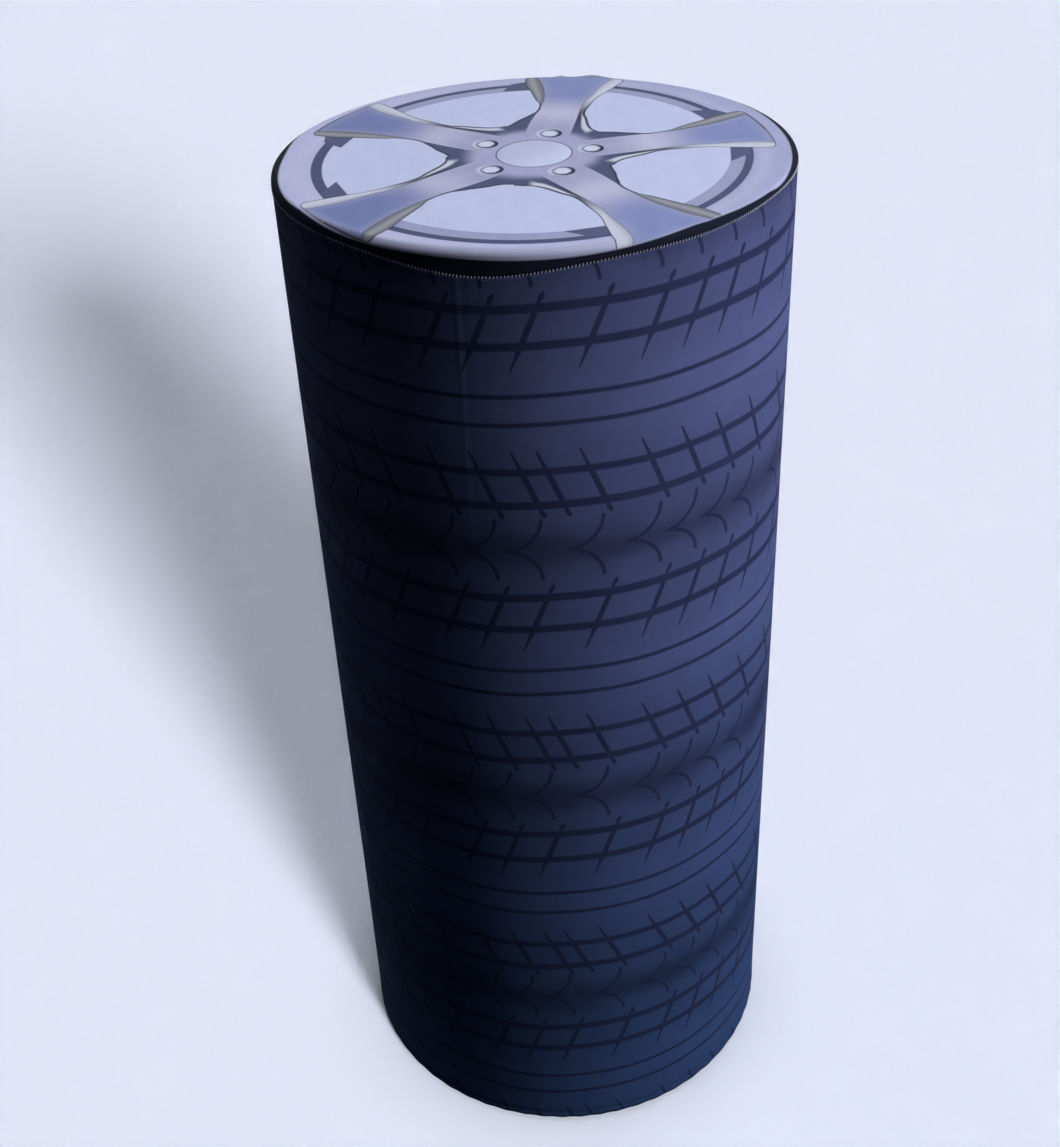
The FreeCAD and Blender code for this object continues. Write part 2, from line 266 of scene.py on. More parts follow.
def paint(tree, colour, *layers):
    """Lay colours over the first one, each through its own mask. Colours are sockets or (r, g, b)."""
    for mask, over in layers:
        node = tree.nodes.new("ShaderNodeMix")
        node.data_type = "RGBA"
        for socket, value in ((FACTOR, mask), (UNDER, colour), (OVER, over)):
            feed(tree, node.inputs[socket], (*value, 1.0) if isinstance(value, tuple) else value)
        colour = node.outputs[MIXED]
    return colour


def scaled(tree, colour, factor):
    """Colour multiplied by one factor."""
    node = tree.nodes.new("ShaderNodeVectorMath")
    node.operation = "SCALE"
    feed(tree, node.inputs[0], colour)
    feed(tree, node.inputs["Scale"], factor)
    return node.outputs[0]


def xyz(tree, vector):
    split = tree.nodes.new("ShaderNodeSeparateXYZ")
    tree.links.new(vector, split.inputs[0])
    return [Term(tree, out) for out in split.outputs]


def noise(tree, vector, scale, stretch=(1.0, 1.0, 1.0), detail=2.0):
    """Noise value with a scale in cycles per metre, stretched along the axes."""
    place = tree.nodes.new("ShaderNodeMapping")
    place.inputs["Scale"].default_value = [scale * part for part in stretch]
    tree.links.new(vector, place.inputs["Vector"])
    node = tree.nodes.new("ShaderNodeTexNoise")
    node.inputs["Scale"].default_value = 1.0
    node.inputs["Detail"].default_value = detail
    tree.links.new(place.outputs[0], node.inputs["Vector"])
    return Term(tree, node.outputs["Fac"])


def group(name, outputs, inputs=()):
    """New shader group that takes a Vector and the given inputs. Returns the tree and its inner nodes."""
    tree = bpy.data.node_groups.new(name, "ShaderNodeTree")
    tree.interface.new_socket(name="Vector", in_out="INPUT", socket_type="NodeSocketVector")
    for label, kind, default in inputs:
        made = tree.interface.new_socket(name=label, in_out="INPUT", socket_type=kind)
        made.default_value = default
    for label, kind in outputs:
        tree.interface.new_socket(name=label, in_out="OUTPUT", socket_type=kind)
    return tree, tree.nodes.new("NodeGroupInput").outputs, tree.nodes.new("NodeGroupOutput").inputs


FLOAT = "NodeSocketFloat"
COLOUR = "NodeSocketColor"


# ---- Shader groups shared by the materials -------------------------------------------------------
def knit_group():
    """Jersey knit: columns across, V-shaped loops along, and loose fibre over them."""
    tree, given, out = group("Knit", [("Height", FLOAT), ("Tone", FLOAT)], [("Pitch", FLOAT, 0.7 * MM)])
    across, along, _ = xyz(tree, given["Vector"])
    pitch = Term(tree, given["Pitch"])
    column = (across / pitch) % 1.0
    side = abs(column - 0.5) * 2.0
    loop = (along / (pitch * 0.8) + side * 0.45) % 1.0
    rib = 1.0 - side * side
    loops = 1.0 - abs(loop - 0.5) * 2.0
    fibre = noise(tree, given["Vector"], 2600.0, detail=3.0)
    height = rib * 0.45 + loops * 0.35 + fibre * 0.35
    feed(tree, out["Height"], height)
    cloud = noise(tree, given["Vector"], 60.0, (1.0, 0.45, 1.0), 4.0)
    streak = noise(tree, given["Vector"], 900.0, (1.0, 0.06, 1.0), 2.0)
    tone = 1.0 + (cloud - 0.5) * 0.16 + (streak - 0.5) * 0.10 + (fibre - 0.5) * 0.12
    feed(tree, out["Tone"], tone)
    return tree


# Grooves as (drop below the join, width), in mm.
GROOVES = ((42.0, 7.0), (71.0, 6.6), (111.0, 3.8), (134.5, 3.8), (174.5, 6.0), (203.0, 6.8))
# Half width of a slot against the drop, in mm, for the upper and the lower row.
UPPER_WIDTHS = [(0, 0), (28, 0), (31, 1.7), (34, 2.1), (38, 1.4), (42, 2.3), (72, 2.4), (78, 1.6), (92, 0.5),
                (94, 0)]
LOWER_WIDTHS = [(0, 0), (154, 0), (157, 0.8), (172, 1.8), (175, 2.4), (203, 2.4), (206, 1.5), (209, 2.0),
                (212, 2.0), (215, 0)]
# Places of the slots and scallops of one tile, in degrees to the right of the front.
UPPER_SLOTS = (-18.6, -9.5, 0.3, 14.1, 27.1, 36.7, 45.9, 57.0)
LOWER_SLOTS = (-19.2, -9.9, -1.0, 4.3, 13.2, 26.5, 36.0, 45.3, 56.4)
SCALLOPS = (-20.6, -11.3, -1.5, 11.8, 24.9, 34.2, 43.7, 53.5)
# The tile's width and start in degrees, and how many mm before a slot its own stretch begins.
SLOT_TILE = 90.0
SLOT_START = -27.0
SLOT_LEAD = 6.0


def from_slot(across, places_degrees, lead):
    """Distance in mm to a slot of a tile that repeats four times round. The change from one slot to the
    next comes a lead before the next one."""
    tile = math.radians(SLOT_TILE) * COVER_RADIUS / MM
    share = (across / tile - SLOT_START / SLOT_TILE) % 1.0
    places = [(degrees - SLOT_START) / SLOT_TILE for degrees in places_degrees]
    stops = [(0.0, (places[0],) * 3)]
    stops += [(place - lead / tile, (place,) * 3) for place in (*places[1:], 1.0 + places[0])]
    return (share - lookup(share, stops)[0]) * tile


def slots(across, drop, half_width, lean, start, places_degrees):
    """Slanted slots: each is in place at the starting drop, leans from there, and follows the half width."""
    distance = from_slot(across - (drop - start) * lean, places_degrees, SLOT_LEAD)
    return (half_width - abs(distance)).above(0.0, 0.6) * half_width.above(0.3, 0.2)


def scallops(across, rise, height, width=29.0):
    """Quarter ellipses that leave the join level and end upright, in mm."""
    distance = from_slot(across, SCALLOPS, width + 2.0)
    reach = hypotenuse((distance + width) / width, (height - rise) / height) - 1.0
    line = abs(reach * (0.5 * (width + height))).below(1.4, 0.9)
    return line * rise.below(height, 0.8) * distance.below(1.6, 0.6) * distance.above(-0.95 * width, 4.0)


def tyre_print_group():
    """Stack of tyres: a ribbed tread with slanted slots, scalloped shoulders, a shade at each join, and
    painted shade that darkens the tread towards the bottom.
    """
    tree, given, out = group("Tyre print", [("Color", COLOUR)])
    s = settings("tyre")
    across, along, _ = [part / MM for part in xyz(tree, given["Vector"])]
    tyre = s.tyre_height / MM
    # The printed lines wander up and down by a millimetre or so.
    wander = (across / 55.0).math("SINE") + (across / 21.0 + 1.0).math("SINE") * 0.5
    drop = (s.first_join / MM - along + wander) % tyre
    upper = curve(drop, [*UPPER_WIDTHS, (tyre, 0)])
    lower = curve(drop, [*LOWER_WIDTHS, (tyre, 0)])
    lines = slots(across, drop, upper, -0.41, 34.0, UPPER_SLOTS)
    lines = lines.most(slots(across, drop, lower, 0.40, 210.0, LOWER_SLOTS))
    lines = lines.most(scallops(across, tyre - drop, 28.0)).most(scallops(across, drop, 26.0))
    for centre, width in GROOVES:
        lines = lines.most(abs(drop - centre).below(0.5 * width, 0.9))
    soft = noise(tree, given["Vector"], 16.0, (1.0, 2.2, 1.0), 3.0)
    shade = (drop.least(tyre - drop) + (soft - 0.5) * 26.0).bell(17.0)
    crown = abs(drop - 0.5 * tyre).bell(48.0)
    tone = (1.0 - shade * 0.45) * (0.90 + crown * 0.22) * (0.88 + soft * 0.24)
    # Painted shade: the tread blends from the shaded low tread at the bottom to the tread at the top seam, so
    # the side gets darker towards the bottom.
    high = (along / (COVER_TOP / MM)).above(0.5, 0.5)
    tread = scaled(tree, paint(tree, tuple(s.shaded_low_tread), (high, tuple(s.tread))), tone)
    feed(tree, out["Color"], paint(tree, tread, (lines * (0.70 + 0.30 * soft), tuple(s.groove))))
    return tree


# The wheel print, in mm and degrees anticlockwise from the right. The outlines and faces give a spoke's half
# width against the distance along it, left and right of its middle. The notches are (along, across) corners.
SPOKE_DEGREES = (9.6, 76.7, 145.7, 218.1, 299.1)
SPOKE_NOTCHES = ((1, 1), (1, 0), (1, 0), (0, 1), (0, 1))
BOLT_DEGREES = (7.6, 73.2, 146.3, 222.8, 297.1)
LEFT_OUTLINE = [(40, 46), (53, 37), (58, 32.8), (71, 28), (85, 21.7), (99, 18), (111, 19.5), (123, 25.5),
                (143, 34.1), (171, 45.2), (181, 46.7), (194, 43)]
LEFT_FACE = [(40, 16), (52, 17.5), (70, 18.5), (94, 18), (116, 18.5), (134, 20.8), (154, 25.8), (174, 33.1),
             (190, 42.5)]
RIGHT_OUTLINE = [(40, 52), (53, 40.2), (62, 31.5), (82, 24.8), (100, 20.5), (112, 21.5), (131, 23.7),
                 (151, 30.2), (171, 36.7), (183, 39.1), (198, 35.5)]
RIGHT_FACE = [(40, 18.9), (53, 18.8), (81, 17.5), (102, 16.1), (117, 15.9), (139, 18.9), (158, 21), (175, 25),
              (192, 33)]
LEFT_NOTCH = [(142, 59), (148, 36), (172, 42), (162, 56)]
RIGHT_NOTCH = [(141, -58), (160, -47), (163, -34), (149, -30)]
# Radius of the printed picture's edge against the angle.
PRINT_EDGE = [(0, 199.5), (15, 199.5), (60, 192), (90, 189), (120, 191), (155, 198), (180, 193.5), (195, 194),
              (210, 191), (225, 190), (255, 185), (285, 183.5), (300, 183), (310, 185), (320, 189),
              (330, 193.5), (342, 198.5), (360, 199.5)]
LINE, LIGHT, BEIGE = (0.040, 0.045, 0.085), (0.60, 0.63, 0.78), (0.36, 0.37, 0.43)
BOLT_CIRCLE = 44.6
CAP_RADIUS = 29.0


def sector(turn, places_degrees, share, extras):
    """Place on the circle, from 0 to 1, of the spoke or bolt that a turn belongs to, and that one's two
    extra values. Each gap is split at this share of its width."""
    ahead = (*places_degrees[1:], places_degrees[0] + 360.0)
    stops = [(0.0, (places_degrees[0] / 360.0, *extras[0]))]
    for here, there, extra in zip(places_degrees, ahead, (*extras[1:], extras[0])):
        stops.append(((here + share * (there - here)) / 360.0, (there / 360.0, *extra)))
    return lookup(turn, stops)


def polygon(along, across, corners):
    """Distance inside a convex polygon whose corners run anticlockwise in (along, across)."""
    inside = None
    for (x0, y0), (x1, y1) in zip(corners, corners[1:] + corners[:1]):
        side = math.hypot(x1 - x0, y1 - y0)
        edge = along * ((y0 - y1) / side) + across * ((x1 - x0) / side)
        edge = edge - (x0 * (y0 - y1) + y0 * (x1 - x0)) / side
        inside = edge if inside is None else inside.least(edge)
    return inside


def printed_rim(tree, radius, turn, light_side):
    """Rim ring with a light band, the groove inside it, which is wider at the left, and the windows."""
    s = settings("wheel")
    west = abs(turn - 182.0 / 360).below(0.115, 0.001)
    return paint(
        tree, tuple(s.ring),
        (light_side.above(0.55, 0.45) * 0.55, (0.30, 0.335, 0.56)),
        ((radius - 178.0).bell(5.0) * 0.25, LIGHT),
        (radius.below(169.5, 0.6), tuple(s.slate)),
        ((radius - (163.0 - west * 2.0)).below(0.0, 0.6), (0.34, 0.37, 0.58)),
        ((radius - (152.0 + west * 9.0)).below(0.0, 0.5), tuple(s.window)),
    )


def printed_spokes(tree, shown, radius, reach, lean, light_side):
    """Spokes that run into one hub: a raised face, a bevel on each side, and a drawn line round both."""
    s = settings("wheel")
    blue, lilac, slate = tuple(s.blue), tuple(s.lilac), tuple(s.slate)
    is_left = lean.above(0.0, 0.2)
    edge = curve(reach, LEFT_OUTLINE) * is_left + curve(reach, RIGHT_OUTLINE) * (1.0 - is_left) - abs(lean)
    face = curve(reach, LEFT_FACE) * is_left + curve(reach, RIGHT_FACE) * (1.0 - is_left) - abs(lean)
    end = 188.5 - radius
    corner = 5.0
    body = corner - hypotenuse((corner - edge).most(0.0), (corner - end).most(0.0))
    body = body.most(63.0 - radius)
    face = face.least(end - 1.2)

    across = ((edge / (edge - face).most(0.5)).most(0.0)).least(1.0)
    outer = reach.above(112.0, 26.0)
    strip = across.below(0.5, 0.12) * reach.below(90.0, 10.0) * (abs(lean) / reach).below(0.62, 0.08)
    left_bevel = paint(
        tree, slate,
        (outer, (0.165, 0.175, 0.22)),
        ((across - 0.45).bell(0.28) * outer * 0.85, BEIGE),
        (radius.below(50.0, 9.0), lilac),
    )
    right_bevel = paint(
        tree, slate,
        (reach.above(70.0, 25.0), (0.045, 0.05, 0.095)),
        (strip, LIGHT),
        (outer, LIGHT),
        (outer * across.above(0.75, 0.3) * 0.6, (0.30, 0.32, 0.42)),
        (radius.below(50.0, 8.0), lilac),
    )
    faces = paint(
        tree, lilac,
        ((reach - 92.0).bell(22.0) * 0.75, (0.56, 0.575, 0.78)),
        (reach.above(122.0, 22.0), blue),
        (light_side.below(0.3, 0.2) * reach.above(100.0, 25.0) * 0.45, (0.12, 0.15, 0.36)),
        (face.below(5.0, 6.0) * reach.above(105.0, 20.0) * 0.45, (0.36, 0.39, 0.56)),
        ((abs(lean) - 10.0).bell(8.0) * reach.below(75.0, 20.0) * 0.35, (0.30, 0.32, 0.48)),
    )
    drawn = paint(
        tree, right_bevel,
        (is_left, left_bevel),
        (face.above(0.0, 0.5), faces),
        (abs(face).below(0.35, 0.4) * 0.45 * reach.above(60.0, 8.0), LINE),
        (radius.below(43.0, 6.0), lilac),
    )
    outline = (abs(body) - 0.75 * radius.below(105.0, 25.0)).below(0.45, 0.45) * 0.95
    return paint(tree, shown, (body.above(0.0, 0.45), drawn), (outline, LINE))


def printed_bolts(tree, shown, east, north, turn):
    """Five bolts round the hub: a pale halo, a dark well, its lit wall and a hexagon."""
    bolt = sector(turn, BOLT_DEGREES, 0.5, ((0, 0),) * 5)[0] * math.tau
    x, y = east - bolt.math("COSINE") * BOLT_CIRCLE, north - bolt.math("SINE") * BOLT_CIRCLE
    hexagon = abs(y).most(abs(y) * 0.5 + abs(x) * 0.866)
    return paint(
        tree, shown,
        (hypotenuse(x + 1.4, y).below(9.6, 0.8) * 0.7, (0.62, 0.65, 0.82)),
        (hypotenuse(x - 0.9, y + 0.3).below(8.8, 0.4), (0.035, 0.038, 0.075)),
        (hypotenuse(x + 0.5, y - 0.2).below(7.4, 0.4), (0.30, 0.32, 0.48)),
        (hexagon.below(5.5, 0.4), (0.64, 0.69, 0.90)),
    )


def wheel_print_group():
    """Five-spoke wheel by distances in mm: rim, windows, notches, spokes, bolts, cap and dark margin."""
    tree, given, out = group("Wheel print", [("Color", COLOUR)])
    east, north, _ = [part / MM for part in xyz(tree, given["Vector"])]
    radius = hypotenuse(east, north)
    turn = (north.math("ARCTAN2", east) / math.tau) % 1.0
    spoke, left_notch, right_notch = sector(turn, SPOKE_DEGREES, 0.45, SPOKE_NOTCHES)
    angle = (turn - spoke) * math.tau
    reach, lean = radius * angle.math("COSINE"), radius * angle.math("SINE")
    light_side = (east / radius * 0.5 + 0.5) + (north / radius) * 0.18
    notch = polygon(reach, lean, LEFT_NOTCH).above(0.0, 0.4) * left_notch
    notch = notch.most(polygon(reach, lean, RIGHT_NOTCH).above(0.0, 0.4) * right_notch)
    shown = paint(tree, printed_rim(tree, radius, turn, light_side), (notch, (0.10, 0.115, 0.23)))
    shown = printed_spokes(tree, shown, radius, reach, lean, light_side)
    shown = printed_bolts(tree, shown, east, north, turn)
    cap = paint(tree, (0.50, 0.53, 0.77), (((east - north) / 60.0).above(0.1, 0.6), (0.59, 0.66, 0.89)))
    beyond = radius - curve(turn * 360.0, PRINT_EDGE)
    shown = paint(
        tree, shown,
        (radius.below(CAP_RADIUS, 0.4), cap),
        (abs(radius - CAP_RADIUS).below(0.5, 0.5) * 0.9, LINE),
        (beyond.above(-1.0, 0.5) * 0.6, (0.33, 0.36, 0.46)),
        (beyond.above(0.0, 0.6), (0.012, 0.014, 0.028)),
    )
    feed(tree, out["Color"], shown)
    return tree


def rubbing_group():
    """Uneven rubbing and fine scratches: a mask that is stronger where the noise runs high."""
    tree, given, out = group("Rubbing", [("Mask", FLOAT)], [("Amount", FLOAT, 0.4)])
    patches = noise(tree, given["Vector"], 35.0, detail=4.0).above(0.58, 0.10)
    hairs = noise(tree, given["Vector"], 160.0, (1.0, 1.0, 9.0), 3.0).above(0.66, 0.05)
    mask = (patches * 0.5 + hairs * 0.7).least(1.0) * Term(tree, given["Amount"])
    feed(tree, out["Mask"], mask)
    return tree


def moulded_grain_group():
    """Spark-eroded mould texture: fine grain over a very slight sink."""
    tree, given, out = group("Moulded grain", [("Height", FLOAT), ("Tone", FLOAT)])
    fine = noise(tree, given["Vector"], 2200.0, detail=1.0)
    sink = noise(tree, given["Vector"], 25.0, detail=2.0)
    feed(tree, out["Height"], fine * 0.7 + sink * 0.3)
    feed(tree, out["Tone"], 0.9 + sink * 0.2)
    return tree


def plywood_group():
    """Plywood: long veneer grain on the faces, and stacked plies wherever the surface is upright."""
    tree, given, out = group("Plywood", [("Color", COLOUR), ("Height", FLOAT)], [("Upright", FLOAT, 0.0)])
    _, _, height = xyz(tree, given["Vector"])
    upright = Term(tree, given["Upright"])
    fibre = noise(tree, given["Vector"], 260.0, (0.05, 1.0, 1.0), 5.0)
    figure = noise(tree, given["Vector"], 14.0, (0.25, 1.0, 1.0), 3.0)
    rings = ((figure * 26.0).math("SINE") * 0.5 + 0.5) * 0.35
    face = paint(tree, (0.62, 0.46, 0.29), ((fibre * 0.6 + rings).least(1.0), (0.44, 0.29, 0.16)))
    ply = ((height / (1.4 * MM)) % 2.0).above(1.0, 0.08)
    end = noise(tree, given["Vector"], 900.0, (1.0, 1.0, 0.3), 2.0)
    edge = paint(tree, (0.58, 0.42, 0.26), (ply * 0.75 + end * 0.15, (0.26, 0.15, 0.08)))
    feed(tree, out["Color"], paint(tree, face, (upright, edge)))
    feed(tree, out["Height"], fibre * (1.0 - upright) + (ply * 0.4 + end * 0.6) * upright)
    return tree


# ---- Materials -----------------------------------------------------------------------------------
class Finish:
    """A material under construction: its tree, its Principled shader and its pattern coordinates."""

    def __init__(self, name, **constants):
        self.made = bpy.data.materials.new(name)
        self.made.use_nodes = True
        self.tree = self.made.node_tree
        self.shader = self.tree.nodes["Principled BSDF"]
        for label, value in constants.items():
            self.shader.inputs[label.replace("_", " ")].default_value = value

    def place(self):
        return self.tree.nodes.new("ShaderNodeTexCoord").outputs["Object"]

    def cloth(self):
        node = self.tree.nodes.new("ShaderNodeAttribute")
        node.attribute_name = "cloth"
        return node.outputs["Vector"]

    def use(self, group_name, vector, **values):
        node = self.tree.nodes.new("ShaderNodeGroup")
        node.node_tree = bpy.data.node_groups[group_name]
        self.tree.links.new(vector, node.inputs["Vector"])
        for label, value in values.items():
            feed(self.tree, node.inputs[label], value)
        return node.outputs

    def coloured(self, colour):
        feed(self.tree, self.shader.inputs["Base Color"], colour)

    def tinted(self, base, tone):
        self.coloured(scaled(self.tree, base, tone))

    def rough(self, term):
        feed(self.tree, self.shader.inputs["Roughness"], term)

    def bumped(self, height, depth):
        node = self.tree.nodes.new("ShaderNodeBump")
        node.inputs["Strength"].default_value = 1.0
        node.inputs["Distance"].default_value = depth
        feed(self.tree, node.inputs["Height"], height)
        self.tree.links.new(node.outputs[0], self.shader.inputs["Normal"])


def printed_knit(name, group_name):
    f = Finish(name, Roughness=0.82, Sheen_Weight=0.015, Sheen_Roughness=0.45, Specular_IOR_Level=0.02)
    knit = f.use("Knit", f.cloth(), Pitch=settings("cloth").knit_pitch)
    f.tinted(f.use(group_name, f.cloth())["Color"], knit["Tone"])
    f.bumped(knit["Height"], 0.12 * MM)
    return f.made


def knit_reverse(name, group_name):
    """White inner face of the knit, with a little of the print showing through."""
    f = Finish(name, Roughness=0.9, Sheen_Weight=0.3, Sheen_Roughness=0.5)
    knit = f.use("Knit", f.cloth(), Pitch=settings("cloth").knit_pitch)
    through = paint(f.tree, (0.80, 0.81, 0.83), (0.10, f.use(group_name, f.cloth())["Color"]))
    f.tinted(through, knit["Tone"])
    f.bumped(knit["Height"], 0.15 * MM)
    return f.made


def sewing_thread():
    f = Finish("Sewing thread", Roughness=0.6, Sheen_Weight=0.3)
    x, y, z = xyz(f.tree, f.place())
    twist = abs(((x + y + z * 1.3) / (0.35 * MM)) % 1.0 - 0.5) * 2.0
    fuzz = noise(f.tree, f.place(), 1500.0)
    f.tinted((0.66, 0.68, 0.82), 0.75 + twist * 0.2 + fuzz * 0.2)
    f.bumped(twist, 0.05 * MM)
    return f.made


def braided_elastic():
    f = Finish("Braided elastic", Roughness=0.8, Sheen_Weight=0.2)
    x, y, _ = xyz(f.tree, f.place())
    turn = y.math("ARCTAN2", x) * (0.186 / (1.2 * MM))
    across = hypotenuse(x, y) / (1.1 * MM)
    braid = abs((turn + across) % 1.0 - 0.5) + abs((turn - across) % 1.0 - 0.5)
    f.tinted((0.82, 0.82, 0.80), 0.75 + braid * 0.25)
    f.bumped(braid, 0.2 * MM)
    return f.made


def plywood():
    f = Finish("Birch plywood", Roughness=0.62, Coat_Weight=0.12, Coat_Roughness=0.35)
    normal = f.tree.nodes.new("ShaderNodeNewGeometry").outputs["Normal"]
    _, _, up = xyz(f.tree, normal)
    wood = f.use("Plywood", f.place(), Upright=abs(up).below(0.6, 0.15))
    f.coloured(wood["Color"])
    f.bumped(wood["Height"], 0.10 * MM)
    return f.made


def foamed_sheet():
    f = Finish("Foamed sheet", Specular_IOR_Level=0.45)
    rub = f.use("Rubbing", f.place(), Amount=0.35)
    grain = f.use("Moulded grain", f.place())
    f.coloured(paint(f.tree, (0.78, 0.78, 0.76), (rub["Mask"], (0.60, 0.60, 0.60))))
    f.rough(0.40 + Term(f.tree, rub["Mask"]) * 0.25)
    f.bumped(grain["Height"], 0.04 * MM)
    return f.made


def tape(name, base, depth, scale):
    """Hook, loop or foam tape: a field of tiny tufts."""
    f = Finish(name, Roughness=0.85, Sheen_Weight=0.25)
    cells = f.tree.nodes.new("ShaderNodeTexVoronoi")
    cells.inputs["Scale"].default_value = scale
    f.tree.links.new(f.place(), cells.inputs["Vector"])
    tufts = Term(f.tree, cells.outputs["Distance"])
    fuzz = noise(f.tree, f.place(), 700.0, detail=3.0)
    f.tinted(base, 0.55 + tufts * 0.6 + fuzz * 0.3)
    f.bumped(tufts + fuzz * 0.4, depth)
    return f.made


def brushed_metal(name, base, roughness, stretch, wear=0.3):
    """Drawn or plated metal with fine lines along its length and light rubbing."""
    f = Finish(name, Metallic=1.0)
    lines = noise(f.tree, f.place(), 1800.0, stretch, 3.0)
    rub = f.use("Rubbing", f.place(), Amount=wear)
    f.tinted(base, 0.86 + lines * 0.22)
    f.rough(roughness + (lines - 0.5) * 0.18 + Term(f.tree, rub["Mask"]) * 0.22)
    f.bumped(lines, 0.02 * MM)
    return f.made


def moulded_nylon(name, base, roughness):
    f = Finish(name, Specular_IOR_Level=0.5)
    grain = f.use("Moulded grain", f.place())
    rub = f.use("Rubbing", f.place(), Amount=0.5)
    worn = Term(f.tree, rub["Mask"])
    f.tinted(base, Term(f.tree, grain["Tone"]) + worn * 0.5)
    f.rough(roughness + worn * -0.15)
    f.bumped(grain["Height"], 0.05 * MM)
    return f.made


def rubber():
    f = Finish("Sole rubber", Roughness=0.88)
    dust = noise(f.tree, f.place(), 120.0, detail=5.0).above(0.52, 0.14)
    grain = f.use("Moulded grain", f.place())
    f.coloured(paint(f.tree, (0.030, 0.030, 0.032), (dust * 0.35, (0.20, 0.19, 0.18))))
    f.bumped(grain["Height"], 0.06 * MM)
    return f.made


def make_materials():
    knit_group()
    tyre_print_group()
    wheel_print_group()
    rubbing_group()
    moulded_grain_group()
    plywood_group()
    even, drawn, threaded = (1.0, 1.0, 1.0), (1.0, 1.0, 0.03), (1.0, 1.0, 0.3)
    return {
        "top": printed_knit("Printed knit wheel", "Wheel print"),
        "top_reverse": knit_reverse("Knit reverse wheel", "Wheel print"),
        "side": printed_knit("Printed knit tyres", "Tyre print"),
        "side_reverse": knit_reverse("Knit reverse tyres", "Tyre print"),
        "thread": sewing_thread(),
        "elastic": braided_elastic(),
        "board": plywood(),
        "wall_sheet": foamed_sheet(),
        "bond_tape": tape("Foam tape", (0.70, 0.70, 0.66), 0.10 * MM, 1500.0),
        "loop_tape": tape("Loop tape", (0.045, 0.045, 0.050), 0.50 * MM, 900.0),
        "hook_tape": tape("Hook tape", (0.060, 0.060, 0.065), 0.60 * MM, 650.0),
        "pole": brushed_metal("Anodised tube", (0.72, 0.73, 0.75), 0.34, drawn),
        "joiner": moulded_nylon("Joiner nylon", (0.040, 0.040, 0.045), 0.50),
        "flange": moulded_nylon("Flange nylon", (0.055, 0.055, 0.060), 0.55),
        "screw": brushed_metal("Zinc screw", (0.66, 0.67, 0.66), 0.30, even),
        "black_screw": brushed_metal("Black oxide", (0.09, 0.09, 0.10), 0.42, even),
        "insert": brushed_metal("Yellow zinc", (0.66, 0.56, 0.34), 0.32, threaded),
        "stem": brushed_metal("Zinc stem", (0.64, 0.66, 0.68), 0.28, threaded),
        "pad": moulded_nylon("Pad nylon", (0.050, 0.050, 0.055), 0.48),
        "sole": rubber(),
    }


# Filled by the Finishes operator.
MATERIALS = {}


# ---- Surfaces ------------------------------------------------------------------------------------
def profile(s):
    """Printed face of the cover as a path of length s from the middle of the top: straight out to the rim,
    round the rim, down the side, round the bottom bend, in under the base, round the fold and back out
    above itself. Each stretch adds its own run, or its arc turned clockwise. Gives radius, height and
    heading (radians)."""
    stretches = [
        (COVER_RADIUS - RIM_BEND, None),
        (math.pi / 2 * RIM_BEND, RIM_BEND),
        (COVER_TOP - RIM_BEND - HEM_LOW - BASE_BEND, None),
        (math.pi / 2 * BASE_BEND, BASE_BEND),
        (COVER_RADIUS - BASE_BEND - HEM_REACH - HEM_FOLD, None),
        (math.pi * HEM_FOLD, HEM_FOLD),
        (HEM_FLAP - HEM_FOLD, None),
    ]
    radius, height, heading = np.zeros_like(s), np.full_like(s, COVER_TOP), np.zeros_like(s)
    start, turn = 0.0, 0.0
    for run, bend in stretches:
        part = np.clip(s - start, 0.0, run)
        if bend is None:
            radius += np.cos(turn) * part
            height += np.sin(turn) * part
        else:
            radius += bend * (np.sin(turn) - np.sin(turn - part / bend))
            height += bend * (np.cos(turn - part / bend) - np.cos(turn))
            heading -= part / bend
            turn -= run / bend
        start += run
    return radius, height, heading


PATH_RIM = COVER_RADIUS - RIM_BEND
PATH_SIDE = PATH_RIM + math.pi / 2 * RIM_BEND
PATH_SEAM = PATH_SIDE + COVER_TOP - RIM_BEND - SEAM_HEIGHT
PATH_BEND = PATH_SIDE + COVER_TOP - RIM_BEND - HEM_LOW - BASE_BEND
PATH_UNDER = PATH_BEND + math.pi / 2 * BASE_BEND
PATH_FOLD = PATH_UNDER + COVER_RADIUS - BASE_BEND - HEM_REACH - HEM_FOLD
PATH_END = PATH_FOLD + math.pi * HEM_FOLD + HEM_FLAP - HEM_FOLD


def bell(x, width):
    return np.exp(-((x / width) ** 2))


def around(turn, centre_degrees):
    """Signed angle from a place on the circle, in degrees, between -180 and 180."""
    return (np.degrees(turn) - centre_degrees + 180.0) % 360.0 - 180.0


def seam_path(turn):
    """Path length of the top seam: level, but pulled down at the front and up at the right, by bells."""
    c = settings("cloth")
    rise = bell(around(turn, 62.0), 24.0) + 0.4 * bell(around(turn, 150.0), 30.0)
    rise = rise - 0.3 * bell(around(turn, -120.0), 30.0)
    return PATH_SEAM + c.seam_drop * bell(around(turn, -12.0), 20.0) - c.seam_rise * rise


